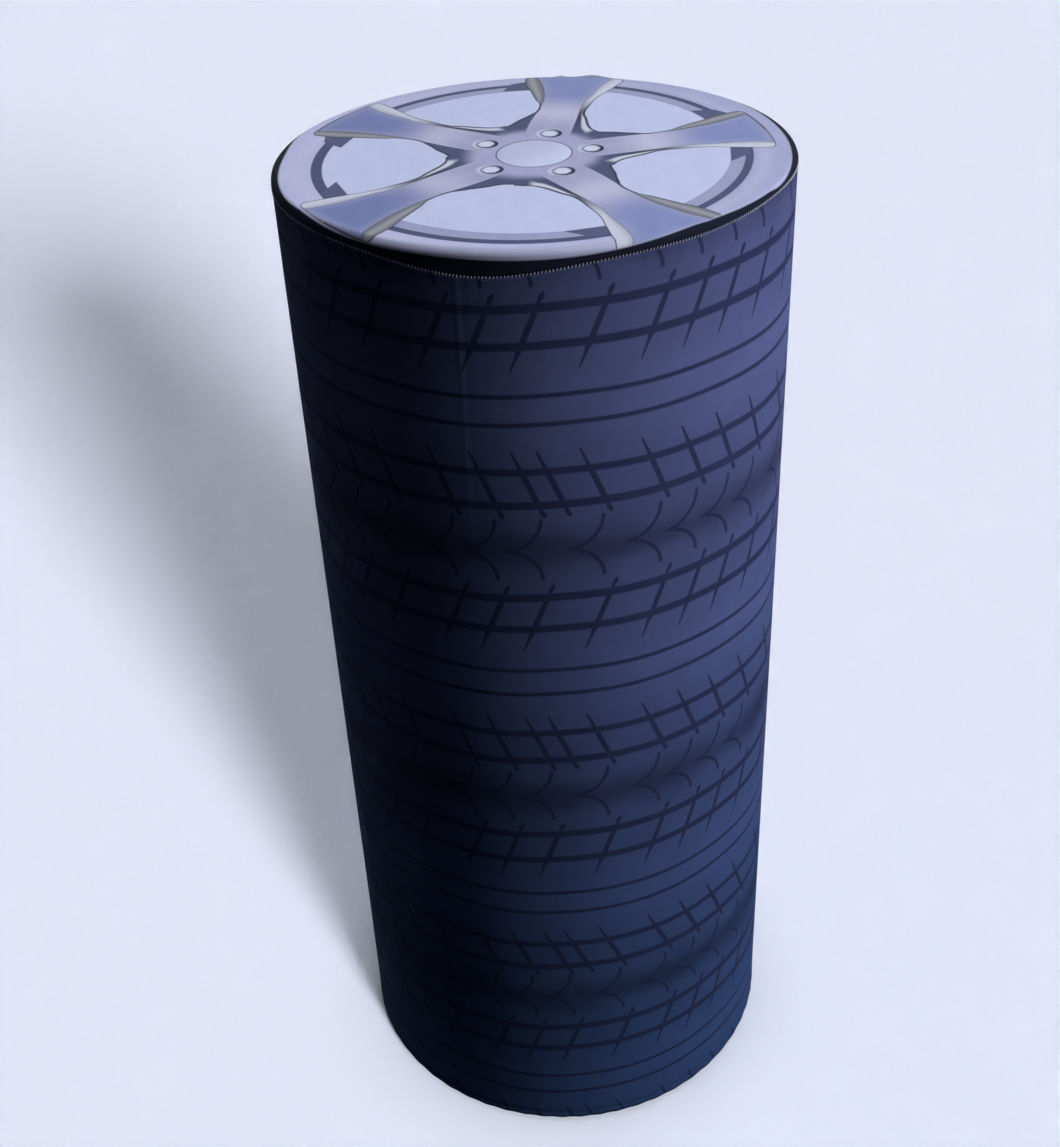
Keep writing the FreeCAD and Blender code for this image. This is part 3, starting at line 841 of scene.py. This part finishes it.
def relief(turn, s):
    """How far the cloth stands off the profile, as a sum of bells and sines: a dip between two ridges at
    each seam, puckers that fade away from the top seam, long waves and a packing crease down the side,
    gathers on the back of the rim, a slight swell of the top, and above the base a pulled line and the
    gathers round the elastic."""
    c = settings("cloth")
    # Top seam, and back seam on the side panel only.
    seam = s - seam_path(turn)
    lift = 0.60 * c.seam_sink * bell(seam, 3.4 * MM) - c.seam_sink * bell(seam, 1.1 * MM)
    back = around(turn, 180.0) * math.radians(COVER_RADIUS)
    on_side = np.clip((s - PATH_SEAM) / (4 * MM), 0.0, 1.0) * np.clip((PATH_BEND - s) / (8 * MM), 0.0, 1.0)
    lift += on_side * (0.45 * c.seam_sink * bell(back, 3.0 * MM) - 0.8 * c.seam_sink * bell(back, 1.0 * MM))

    # Puckers, stronger at the front right and at the back.
    busy = 0.25 + bell(around(turn, 45.0), 18.0) + 0.7 * bell(around(turn, 160.0), 30.0)
    busy += 0.4 * bell(around(turn, -100.0), 25.0)
    ripple = np.sin(151 * turn + 2.0 * np.sin(7 * turn))
    ripple += 0.8 * np.sin(97 * turn + 1.3 + 1.5 * np.sin(5 * turn))
    below = np.where(seam > 0, bell(seam, 14 * MM), bell(seam, 3.5 * MM))
    lift += 0.10 * MM * busy * ripple * below * (1.0 - bell(seam, 0.8 * MM))

    # Waves and crease, by the share of the way down the side.
    down = np.clip((s - PATH_SIDE) / (PATH_BEND - PATH_SIDE), 0.0, 1.0)
    waves = 0.5 * np.sin(5 * turn + 2.2 * down) + 0.4 * np.sin(9 * turn - 3.1 * down + 1.0)
    waves += 0.5 * np.sin(14 * turn + 5.0 * np.sin(2.4 * down) + 0.7) + 0.3 * np.sin(3 * turn + 9.0 * down)
    lift += c.slack * waves * np.sin(np.pi * down) ** 0.5
    crease_line = around(turn, -16.0 - 3.0 * down) * math.radians(COVER_RADIUS)
    fade = np.clip(down / 0.02, 0.0, 1.0) * np.clip((0.30 - down) / 0.2, 0.0, 1.0)
    lift += c.crease * fade * (bell(crease_line, 1.4 * MM) - 0.4 * bell(crease_line - 3 * MM, 2.5 * MM))

    # Two gathers on the back of the rim, and the swell of the top.
    rim = bell(s - PATH_RIM - 2 * MM, 4.5 * MM)
    gather = bell(around(turn, 164.0), 3.4) + 0.55 * bell(around(turn, 172.3), 1.3)
    lift += c.rim_bump * rim * gather
    out = np.clip(s / PATH_RIM, 0.0, 1.0)
    lift += np.where(s < PATH_RIM, 0.25 * MM * np.sin(np.pi * out) * np.sin(2 * turn + 3.0 * out), 0.0)

    # Gathers round the elastic, and the pulled line above them.
    depth = np.clip((s - PATH_BEND + 10 * MM) / (14 * MM), 0.0, 1.0) ** 2
    hem = 0.5 - 0.5 * np.cos(61 * turn + 1.8 * np.sin(4 * turn))
    above_bend = PATH_BEND - s
    soft = bell(above_bend - 9.5 * MM, 2.5 * MM) + bell(above_bend - 1 * MM, 2.5 * MM)
    pulled = 0.5 * soft - 0.45 * bell(above_bend - 5 * MM, 1.7 * MM)
    return lift + c.hem_gather * depth * hem + c.hem_line * pulled * (0.6 + 0.4 * hem)


def cloth_points(turn, s, extra=0.0):
    """Point of the cover at a turn (0 at the front, growing to the right) and a path length: the profile
    carried round the axis and moved out along its normal by the relief and an extra amount. Gives points
    and normals."""
    radius, height, heading = profile(s)
    out, up = -np.sin(heading), np.cos(heading)
    lift = relief(turn, s) + extra
    radius, height = radius + out * lift, height + up * lift
    points = np.stack([radius * np.sin(turn), -radius * np.cos(turn), height], axis=-1)
    normals = np.stack([out * np.sin(turn), -out * np.cos(turn), up + 0.0 * turn], axis=-1)
    return points, normals


def grid_faces(rows, columns, closed=False):
    """Quads between the points of a grid of rows by columns, joined round when closed."""
    steps = columns if closed else columns - 1
    row, column = np.meshgrid(np.arange(rows - 1), np.arange(steps), indexing="ij")
    here, below = row * columns, (row + 1) * columns
    after = (column + 1) % columns
    return np.stack([here + column, below + column, below + after, here + after], axis=-1).reshape(-1, 4)


def fan(tip, ring):
    """Triangles from one point to each step round a closed ring of points."""
    return np.stack([np.full(len(ring), tip), ring, np.roll(ring, -1)], axis=-1).tolist()


def in_scene(name, data):
    """New object of this name with this data, in the scene."""
    made = bpy.data.objects.new(name, data)
    bpy.context.scene.collection.objects.link(made)
    return made


def new_piece(name, points, faces, materials, body, smooth=True):
    """Mesh object from an array of points and a list of faces, riding on a body of the frame."""
    mesh = bpy.data.meshes.new(name)
    mesh.from_pydata(points.reshape(-1, 3).tolist(), [], faces)
    mesh.polygons.foreach_set("use_smooth", np.full(len(mesh.polygons), smooth))
    for material in materials:
        mesh.materials.append(MATERIALS[material])
    mesh.update()
    piece = in_scene(name, mesh)
    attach(piece, body)
    return piece


def as_cloth(piece, across, along, thickness):
    """Store where each point lies on the flat printed cloth, in metres, and give the sheet its thickness
    behind its printed face, with the reverse material there."""
    flat = np.stack([across.ravel(), along.ravel(), np.zeros(across.size)], axis=-1)
    attribute = piece.data.attributes.new("cloth", "FLOAT_VECTOR", "POINT")
    attribute.data.foreach_set("vector", flat.ravel())
    solid = piece.modifiers.new("Thickness", "SOLIDIFY")
    solid.thickness = thickness
    solid.offset = -1.0
    solid.use_even_offset = False
    solid.use_rim = True
    solid.material_offset = 1
    solid.material_offset_rim = 1


def cloth_grid(rows, columns, closed=True):
    """Row values and turns at every point of a grid, from the back round by the front to the back again."""
    turn = np.linspace(-math.pi, math.pi, columns, endpoint=not closed)
    return np.meshgrid(rows, turn, indexing="ij")


def spaced(stops, counts):
    """Row places between stops, with the given number of steps in each stretch."""
    pieces = [np.linspace(a, b, n, endpoint=False) for a, b, n in zip(stops, stops[1:], counts)]
    return np.concatenate([*pieces, stops[-1:]])


def print_warp(turn, drop):
    """How far the highest tyre's lines hang low: most at the front left, and less the lower they are."""
    hang = 2.5 * MM + 6.0 * MM * bell(around(turn, -12.0), 42.0)
    return hang * np.clip(1.0 - drop / (170 * MM), 0.0, 1.0)


def print_twist(height):
    """The side print runs askew low down: it drifts to the right, by a power of the way to the hem."""
    return 20.0 * MM * np.clip((420 * MM - height) / (400 * MM), 0.0, 1.0) ** 1.3


def wheel_place(across, along):
    """Place on the printed wheel, from its hub: the cloth is pulled from front to back, and a little slack
    at the far right."""
    w = settings("wheel")
    across, along = across - w.hub_x, (along - w.hub_y) / w.pull
    return across * (1.0 + 0.026 * np.clip(across / (165 * MM), 0.0, 1.2)), along


# ---- Pieces --------------------------------------------------------------------------------------
def make_cover_top():
    """Top panel: the profile from the middle to the top seam, carried round the axis and closed."""
    columns = 600
    stops = [0.0, PATH_RIM - 12 * MM, PATH_RIM, PATH_SEAM]
    s, turn = cloth_grid(spaced(stops, [20, 8, 16])[1:], columns)
    follow_from = 0.96 * PATH_RIM
    follow = np.clip((s - follow_from) / (PATH_SEAM - follow_from), 0.0, 1.0)
    s = s + follow * (seam_path(turn) - PATH_SEAM)
    points, _ = cloth_points(turn, s)
    faces = grid_faces(*s.shape, closed=True).tolist() + fan(s.size, np.arange(columns))
    points = np.append(points.reshape(-1, 3), [[0.0, 0.0, COVER_TOP]], axis=0)
    piece = new_piece("cover_top", points, faces, ["top", "top_reverse"], "cover")
    across, along = wheel_place(np.append(s * np.sin(turn), 0.0), np.append(-s * np.cos(turn), 0.0))
    as_cloth(piece, across, along, FABRIC)
    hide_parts("cover_top_panel")
    return piece


def make_cover_side():
    """Side panel and hem in one cloth: the profile from the top seam to the end of the hem, from the back
    seam right round to the back seam."""
    bend = PATH_BEND - PATH_SEAM
    stops = [0.0, 6 * MM, 30 * MM, bend - 12 * MM, bend, PATH_UNDER - PATH_SEAM, PATH_FOLD - PATH_SEAM,
             PATH_END - PATH_SEAM]
    below, turn = cloth_grid(spaced(stops, [8, 10, 26, 12, 6, 4, 11]), 601, closed=False)
    follow = np.clip(1.0 - below / (90 * MM), 0.0, 1.0)
    s = PATH_SEAM + below + follow * (seam_path(turn) - PATH_SEAM)
    points, _ = cloth_points(turn, s)
    piece = new_piece("cover_side", points, grid_faces(*s.shape).tolist(), ["side", "side_reverse"], "cover")
    height = SEAM_HEIGHT - (s - PATH_SEAM)
    across = turn * COVER_RADIUS - print_twist(height)
    as_cloth(piece, across, height + print_warp(turn, SEAM_HEIGHT - height), FABRIC)
    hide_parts("cover_side_panel", "cover_hem")
    return piece


def make_top_allowance():
    """Seam allowance of the top seam: a strip that hangs inside the side panel, a little wavy along its
    end."""
    width = SEAM_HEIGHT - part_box("cover_top_seam_allowance")[0].z
    share, turn = cloth_grid(np.linspace(0.02, 1.0, 6), 600)
    wave = 0.45 * MM * np.sin(43 * turn + 2 * np.sin(6 * turn)) + 0.25 * MM * np.sin(131 * turn)
    s = seam_path(turn) + share * width + wave * share**2
    points, _ = cloth_points(turn, s, -UNDER_CLOTH)
    piece = new_piece("top_seam_allowance", points, grid_faces(*share.shape, closed=True).tolist(),
                      ["side_reverse", "side_reverse"], "cover")
    as_cloth(piece, turn * COVER_RADIUS, SEAM_HEIGHT - (s - PATH_SEAM), ALLOWANCE)
    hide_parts("cover_top_seam_allowance")
    return piece


def make_back_allowance():
    """Seam allowance of the back seam: a strip inside the side panel, wavy along both its edges."""
    low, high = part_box("cover_back_seam_allowance")
    height, side = np.meshgrid(np.linspace(high.z, low.z, 220), np.linspace(-1.0, 1.0, 7), indexing="ij")
    wave = 0.35 * MM * np.sin(height * 310.0) + 0.2 * MM * np.sin(height * 870.0 + 1.0)
    width = 0.5 * (high.x - low.x) + wave
    turn = math.pi + side * width / COVER_RADIUS
    points, _ = cloth_points(turn, PATH_SEAM + SEAM_HEIGHT - height, -UNDER_CLOTH)
    piece = new_piece("back_seam_allowance", points, grid_faces(*height.shape).tolist(),
                      ["side_reverse", "side_reverse"], "cover")
    as_cloth(piece, side * width, height, ALLOWANCE)
    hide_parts("cover_back_seam_allowance")
    return piece


def unit(vectors):
    return vectors / np.linalg.norm(vectors, axis=-1, keepdims=True)


def stitch_row(name, starts, ends, normals, thread, rise, node):
    """Row of stitches in one mesh. Each is a thread from its start to its end along an arch: straight
    between the two, plus the normal times the rise times the sine of half a turn, less a little so that its
    ends dip in."""
    stations, sides = 6, 6
    u = np.linspace(0.0, 1.0, stations)[None, :, None, None]
    angle = np.linspace(0.0, math.tau, sides, endpoint=False)[None, None, :, None]
    first, last, normal = (a[:, None, None, :] for a in (starts, ends, normals))
    run = last - first
    middle = first + run * u + normal * (rise * np.sin(np.pi * u) - 0.6 * thread)
    slope = unit(run + normal * rise * np.pi * np.cos(np.pi * u))
    across = unit(np.cross(normal, run))
    over = np.cross(slope, across)
    swell = 1.0 - 0.35 * np.abs(2.0 * u - 1.0) ** 3
    points = middle + thread * swell * (np.cos(angle) * across + np.sin(angle) * over)
    size = stations * sides
    near_cap = np.array([[0, 1, 2, 3], [3, 4, 5, 0]])
    far_cap = near_cap[:, ::-1] + size - sides
    tube = grid_faces(stations, sides, closed=True)[:, ::-1]
    one = np.concatenate([tube, near_cap, far_cap])
    faces = one[None, :, :] + np.arange(len(starts))[:, None, None] * size
    piece = new_piece(name, points, faces.reshape(-1, 4).tolist(), ["thread"], "cover")
    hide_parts(node)
    return piece


def make_top_stitches():
    """Overlock thread across the top seam: short slanted bars that bridge the two panels."""
    st = settings("stitch")
    count = round(math.tau * COVER_RADIUS / st.pitch)
    turn = (np.arange(count) + 0.5) * math.tau / count - math.pi
    uneven = 0.10 * np.sin(17 * turn) + 0.08 * np.sin(41 * turn + 2.0)
    seam = seam_path(turn)
    lean = 0.21 * st.span / COVER_RADIUS
    half = 0.5 * st.span * (1.0 + uneven)
    low, normals = cloth_points(turn - lean, seam + half, 0.10 * MM)
    high, _ = cloth_points(turn + lean, seam - half, 0.10 * MM)
    return stitch_row("top_seam_stitches", low, high, normals, st.thread, 0.30 * MM, "cover_top_seam_thread")


def make_back_stitches():
    """Overlock thread down the back seam."""
    st = settings("stitch")
    low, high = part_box("cover_back_seam_thread")
    count = round((high.z - low.z) / st.back_pitch)
    s = PATH_SEAM + SEAM_HEIGHT - np.linspace(low.z + 2 * MM, high.z - 1.5 * MM, count)
    half = 0.5 * st.span / COVER_RADIUS
    slant = 0.4 * MM
    left, normals = cloth_points(np.full(count, math.pi - half), s + slant, 0.05 * MM)
    right, _ = cloth_points(np.full(count, math.pi + half), s - slant, 0.05 * MM)
    return stitch_row("back_seam_stitches", left, right, normals, 0.9 * st.thread, 0.18 * MM,
                      "cover_back_seam_thread")


def make_hem_stitches():
    """Running stitch under the base that holds the hem's end and closes the elastic's channel."""
    count = 400
    turn = np.arange(count) * math.tau / count - math.pi
    inward = COVER_RADIUS - BASE_BEND - rim_of("cover_hem_thread")[1] + 0.3 * MM
    s = np.full(count, PATH_UNDER + inward)
    reach = 0.36 * math.tau / count
    first, normals = cloth_points(turn - reach, s)
    last, _ = cloth_points(turn + reach, s)
    return stitch_row("hem_stitches", first, last, normals, settings("stitch").thread, 0.25 * MM,
                      "cover_hem_thread")


# Levelling stem: thread, snap head, neck and collar, and the gap between two rings where the radius jumps.
STEM_SIDES = 36
THREAD_CORE, THREAD_CREST, THREAD_PITCH = 2.45 * MM, 3.0 * MM, 1.0 * MM
HEAD_RADIUS, HEAD_HEIGHT, NECK_RADIUS = 4.4 * MM, 2.0 * MM, 2.9 * MM
COLLAR_LOW, COLLAR_HIGH, COLLAR_HALF_WIDTH = 10.0 * MM, 11.9 * MM, 5.5 * MM
STEP = 0.01 * MM


def stem_radius(turn, height, low, high):
    """Radius of a levelling stem by turn and height. From below: the snap head with its rounded edges, the
    neck, the hexagon of the collar with its chamfers, and the thread, whose groove follows the helix, runs
    out at the collar and ends in a point."""
    from_middle = np.abs(height - low - 0.5 * HEAD_HEIGHT) / (0.5 * HEAD_HEIGHT)
    head = HEAD_RADIUS - 0.5 * MM * np.clip(from_middle * 2.0 - 1.0, 0.0, 1.0)
    flat = COLLAR_HALF_WIDTH / np.cos((turn + math.pi / 6) % (math.pi / 3) - math.pi / 6)
    chamfer = np.minimum(height - COLLAR_LOW, COLLAR_HIGH - height) * 1.6
    collar = np.minimum(flat, COLLAR_HALF_WIDTH + 0.2 * MM + chamfer)
    groove = np.abs((height / THREAD_PITCH - turn / math.tau) % 1.0 - 0.5) * 2.0
    runout = np.clip((height - COLLAR_HIGH) / (1.5 * MM), 0.0, 1.0)
    thread = THREAD_CREST - (THREAD_CREST - THREAD_CORE) * np.clip(groove * 1.35 - 0.15, 0.0, 1.0) * runout
    thread = np.minimum(thread, THREAD_CORE + (high - height) * 0.9)
    places = [height < low + HEAD_HEIGHT + STEP, height < COLLAR_LOW, height <= COLLAR_HIGH]
    return np.select(places, [head, np.full_like(thread, NECK_RADIUS), collar], thread)


def foot_stem(k):
    """Threaded levelling stem: rings of its radius up its axis, closed at both ends, with a slot cut in."""
    node = f"foot_stem_{k}"
    low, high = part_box(node)
    x, y = 0.5 * (low.x + high.x), 0.5 * (low.y + high.y)
    heights = np.concatenate([
        spaced([low.z, low.z + 0.5 * MM, low.z + 1.5 * MM, low.z + HEAD_HEIGHT], [3, 3, 3]),
        spaced([low.z + HEAD_HEIGHT + 0.05 * MM, COLLAR_LOW], [6]),
        spaced([COLLAR_LOW + STEP, COLLAR_LOW + 0.4 * MM, COLLAR_HIGH - 0.4 * MM, COLLAR_HIGH], [3, 3, 3]),
        spaced([COLLAR_HIGH + STEP, high.z], [168]),
    ])
    turns = np.linspace(0.0, math.tau, STEM_SIDES, endpoint=False)
    height, turn = np.meshgrid(heights, turns, indexing="ij")
    radius = stem_radius(turn, height, low.z, high.z)
    points = np.stack([x + radius * np.cos(turn), y + radius * np.sin(turn), height], axis=-1).reshape(-1, 3)
    points = np.append(points, [[x, y, low.z], [x, y, high.z]], axis=0)
    ring = np.arange(STEM_SIDES)
    faces = grid_faces(*height.shape, closed=True)[:, ::-1].tolist()
    faces += fan(height.size, ring[::-1]) + fan(height.size + 1, ring + height.size - STEM_SIDES)
    piece = new_piece(f"{node}_threaded", points, faces, ["stem"], f"foot_{k}_stem", smooth=False)
    cut_slot(piece, x, y, high.z)
    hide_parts(node)


def cut_slot(piece, x, y, top):
    """Cut the screwdriver slot across the stem's upper end with a box, and keep the cut mesh."""
    half = np.array([4.0 * MM, 0.5 * MM, 1.5 * MM])
    corners = np.array([[i, j, k] for i in (-1, 1) for j in (-1, 1) for k in (-1, 1)]) * half + [x, y, top]
    faces = [(0, 1, 3, 2), (4, 6, 7, 5), (0, 4, 5, 1), (2, 3, 7, 6), (0, 2, 6, 4), (1, 5, 7, 3)]
    mesh = bpy.data.meshes.new("slot_cutter")
    mesh.from_pydata(corners.tolist(), [], faces)
    cutter = in_scene("slot_cutter", mesh)
    cut = piece.modifiers.new("Slot", "BOOLEAN")
    cut.operation = "DIFFERENCE"
    cut.solver = "EXACT"
    cut.object = cutter
    seen = piece.evaluated_get(bpy.context.evaluated_depsgraph_get())
    finished = bpy.data.meshes.new_from_object(seen)
    piece.modifiers.clear()
    piece.data = finished
    bpy.data.objects.remove(cutter)


CAD_FINISHES = {
    "cover_hem_elastic": "elastic",
    "lid_board": "board",
    "base_board": "board",
    "lid_flange_screws": "screw",
    "base_flange_screws": "screw",
    "pole_grub_screws": "black_screw",
    "rolled_wall": "wall_sheet",
    "closure_strip": "wall_sheet",
    "closure_bond_tape": "bond_tape",
    "closure_loop_tape": "loop_tape",
    "closure_hook_tape": "hook_tape",
    "lid_flange": "flange",
    "base_flange": "flange",
    "lower_pole": "pole",
    "upper_pole": "pole",
    "pole_joiner": "joiner",
    "foot_insert": "insert",
    "foot_sole": "sole",
    "foot_pad": "pad",
}


def dress_frame():
    """Give every CAD node that stays in view its finish. The four of a kind share one."""
    for name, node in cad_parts.items():
        kind = name if name in CAD_FINISHES else name.rpartition("_")[0]
        if kind in CAD_FINISHES:
            for place in node.material_slots:
                place.material = MATERIALS[CAD_FINISHES[kind]]


# ---- Stage ---------------------------------------------------------------------------------------
def aim_camera():
    """Camera axes from the tilt, yaw and roll: look along the yaw, down by the tilt, then lean by the
    roll."""
    s = settings("stage")
    tilt, yaw, roll = (math.radians(a) for a in (s.tilt, s.yaw, s.roll))
    forward = np.array([math.sin(yaw) * math.cos(tilt), math.cos(yaw) * math.cos(tilt), -math.sin(tilt)])
    right = np.array([math.cos(yaw), -math.sin(yaw), 0.0])
    up = np.cross(right, forward)
    axis_x = right * math.cos(roll) + up * math.sin(roll)
    axis_y = up * math.cos(roll) - right * math.sin(roll)
    data = bpy.data.cameras.new("Camera")
    data.lens = s.lens
    data.sensor_width = 36.0
    data.clip_end = 60.0
    camera = in_scene("Camera", data)
    columns = np.stack([axis_x, axis_y, -forward], axis=-1)
    place = Matrix.Translation((0.0, s.camera_y, s.camera_z))
    camera.matrix_world = place @ Matrix(columns.tolist()).to_4x4()
    bpy.context.scene.camera = camera


def far_light(name, around_degrees, up_degrees, spread_degrees, strength):
    """Far light of a given spread, from a place round the plinth and above it. The strength is what a white
    face turned to it shows."""
    data = bpy.data.lights.new(name, "SUN")
    data.angle = math.radians(spread_degrees)
    data.energy = strength * math.pi
    light = in_scene(name, data)
    light.location = (0.0, 0.0, 4.0)
    light.rotation_euler = (math.pi / 2 - math.radians(up_degrees), 0.0, math.radians(around_degrees))
    return light


def near_light(name, place, size, strength):
    """Round soft light close to the plinth's top edge, aimed at it. The strength is what a white face there
    shows."""
    target = np.array([0.14, 0.0, COVER_TOP - 0.1])
    away = target - np.array(place)
    distance = float(np.linalg.norm(away))
    data = bpy.data.lights.new(name, "AREA")
    data.shape = "DISK"
    data.size = size
    data.energy = strength * (math.pi * distance) ** 2
    light = in_scene(name, data)
    light.location = place
    x, y, z = away / distance
    light.rotation_euler = (math.acos(-z), 0.0, math.atan2(-x, y))
    return light


def link_light(light, piece, state):
    """Let a light fall on this piece only (INCLUDE) or on everything but it (EXCLUDE). Shadows stay."""
    lit = bpy.data.collections.new(light.name + " receivers")
    lit.objects.link(piece)
    lit.collection_objects[0].light_linking.link_state = state
    light.light_linking.receiver_collection = lit


def make_floor():
    """Flat pale floor, square, with its middle under the plinth. It throws no light back on the plinth."""
    reach = 12.0
    points = np.array([[-reach, -reach, 0], [reach, -reach, 0], [reach, reach, 0], [-reach, reach, 0]])
    mesh = bpy.data.meshes.new("floor")
    mesh.from_pydata(points.tolist(), [], [(0, 1, 2, 3)])
    f = Finish("Studio floor", Roughness=0.9, Specular_IOR_Level=0.0)
    cloud = noise(f.tree, f.place(), 0.6, detail=2.0)
    f.tinted(tuple(settings("stage").floor), 0.99 + cloud * 0.02)
    mesh.materials.append(f.made)
    floor = in_scene("floor", mesh)
    floor.visible_diffuse = False
    return floor


def make_stage():
    """Floor and camera. The plinth has two key lights from the right and a fill from the back, the floor
    has a low light from the front right, and both have a light from above and a weak pale surround."""
    floor = make_floor()
    aim_camera()
    link_light(far_light("Key", 66.0, 24.0, 18.0, 0.30), floor, "EXCLUDE")
    link_light(near_light("Near key", (1.36, -0.52, 1.22), 0.7, 0.80), floor, "EXCLUDE")
    link_light(far_light("Back fill", 180.0, 25.0, 20.0, 0.50), floor, "EXCLUDE")
    link_light(far_light("Floor light", 26.5, 19.5, 13.0, 1.74), floor, "INCLUDE")
    far_light("Overhead", 0.0, 90.0, 8.0, 0.38)
    world = bpy.data.worlds.new("Studio")
    world.use_nodes = True
    backdrop = world.node_tree.nodes["Background"]
    backdrop.inputs["Color"].default_value = (0.80, 0.85, 1.0, 1.0)
    backdrop.inputs["Strength"].default_value = 0.02
    bpy.context.scene.world = world
    bpy.context.scene.view_settings.view_transform = "Standard"


# ---- Operators and panel -------------------------------------------------------------------------
class PlinthFinishes(bpy.types.Operator):
    """Make every material and give the frame's own parts their finish"""

    bl_idname = "plinth.finishes"
    bl_label = "Finishes"

    def execute(self, context):
        MATERIALS.update(make_materials())
        dress_frame()
        return {"FINISHED"}


class PlinthCover(bpy.types.Operator):
    """Make the printed cover: top panel, side panel with its hem, and the seam allowances inside"""

    bl_idname = "plinth.cover"
    bl_label = "Cover"

    def execute(self, context):
        top, side = make_cover_top(), make_cover_side()
        inside = [make_top_allowance(), make_back_allowance()]
        stitches = [make_top_stitches(), make_back_stitches(), make_hem_stitches()]
        return {"FINISHED"}


class PlinthFeet(bpy.types.Operator):
    """Make the four threaded levelling stems"""

    bl_idname = "plinth.feet"
    bl_label = "Foot stems"

    def execute(self, context):
        for k in range(1, 5):
            foot_stem(k)
        return {"FINISHED"}


class PlinthStage(bpy.types.Operator):
    """Make the floor, the lights and the camera"""

    bl_idname = "plinth.stage"
    bl_label = "Stage"

    def execute(self, context):
        make_stage()
        return {"FINISHED"}


OPERATORS = (PlinthFinishes, PlinthCover, PlinthFeet, PlinthStage)
NAMES = ("cloth", "stitch", "tyre", "wheel", "stage")


class PlinthPanel(bpy.types.Panel):
    """Lists the steps in the 3D view's sidebar"""

    bl_idname = "VIEW3D_PT_plinth"
    bl_label = "Covered display plinth"
    bl_space_type = "VIEW_3D"
    bl_region_type = "UI"
    bl_category = "Plinth"

    def draw(self, context):
        for operator in OPERATORS:
            self.layout.operator(operator.bl_idname)
        for name in NAMES:
            box = self.layout.box()
            for prop in getattr(context.scene, "plinth_" + name).bl_rna.properties:
                if prop.identifier not in ("rna_type", "name"):
                    box.prop(getattr(context.scene, "plinth_" + name), prop.identifier)


def register():
    for cls in (*SETTINGS, *OPERATORS, PlinthPanel):
        bpy.utils.register_class(cls)
    for name, cls in zip(NAMES, SETTINGS):
        setattr(bpy.types.Scene, "plinth_" + name, bpy.props.PointerProperty(type=cls))


def unregister():
    for name in NAMES:
        delattr(bpy.types.Scene, "plinth_" + name)
    for cls in reversed((*SETTINGS, *OPERATORS, PlinthPanel)):
        bpy.utils.unregister_class(cls)


def main():
    register()
    bpy.ops.plinth.finishes()
    bpy.ops.plinth.cover()
    bpy.ops.plinth.feet()
    bpy.ops.plinth.stage()


if __name__ == "__main__":
    main()
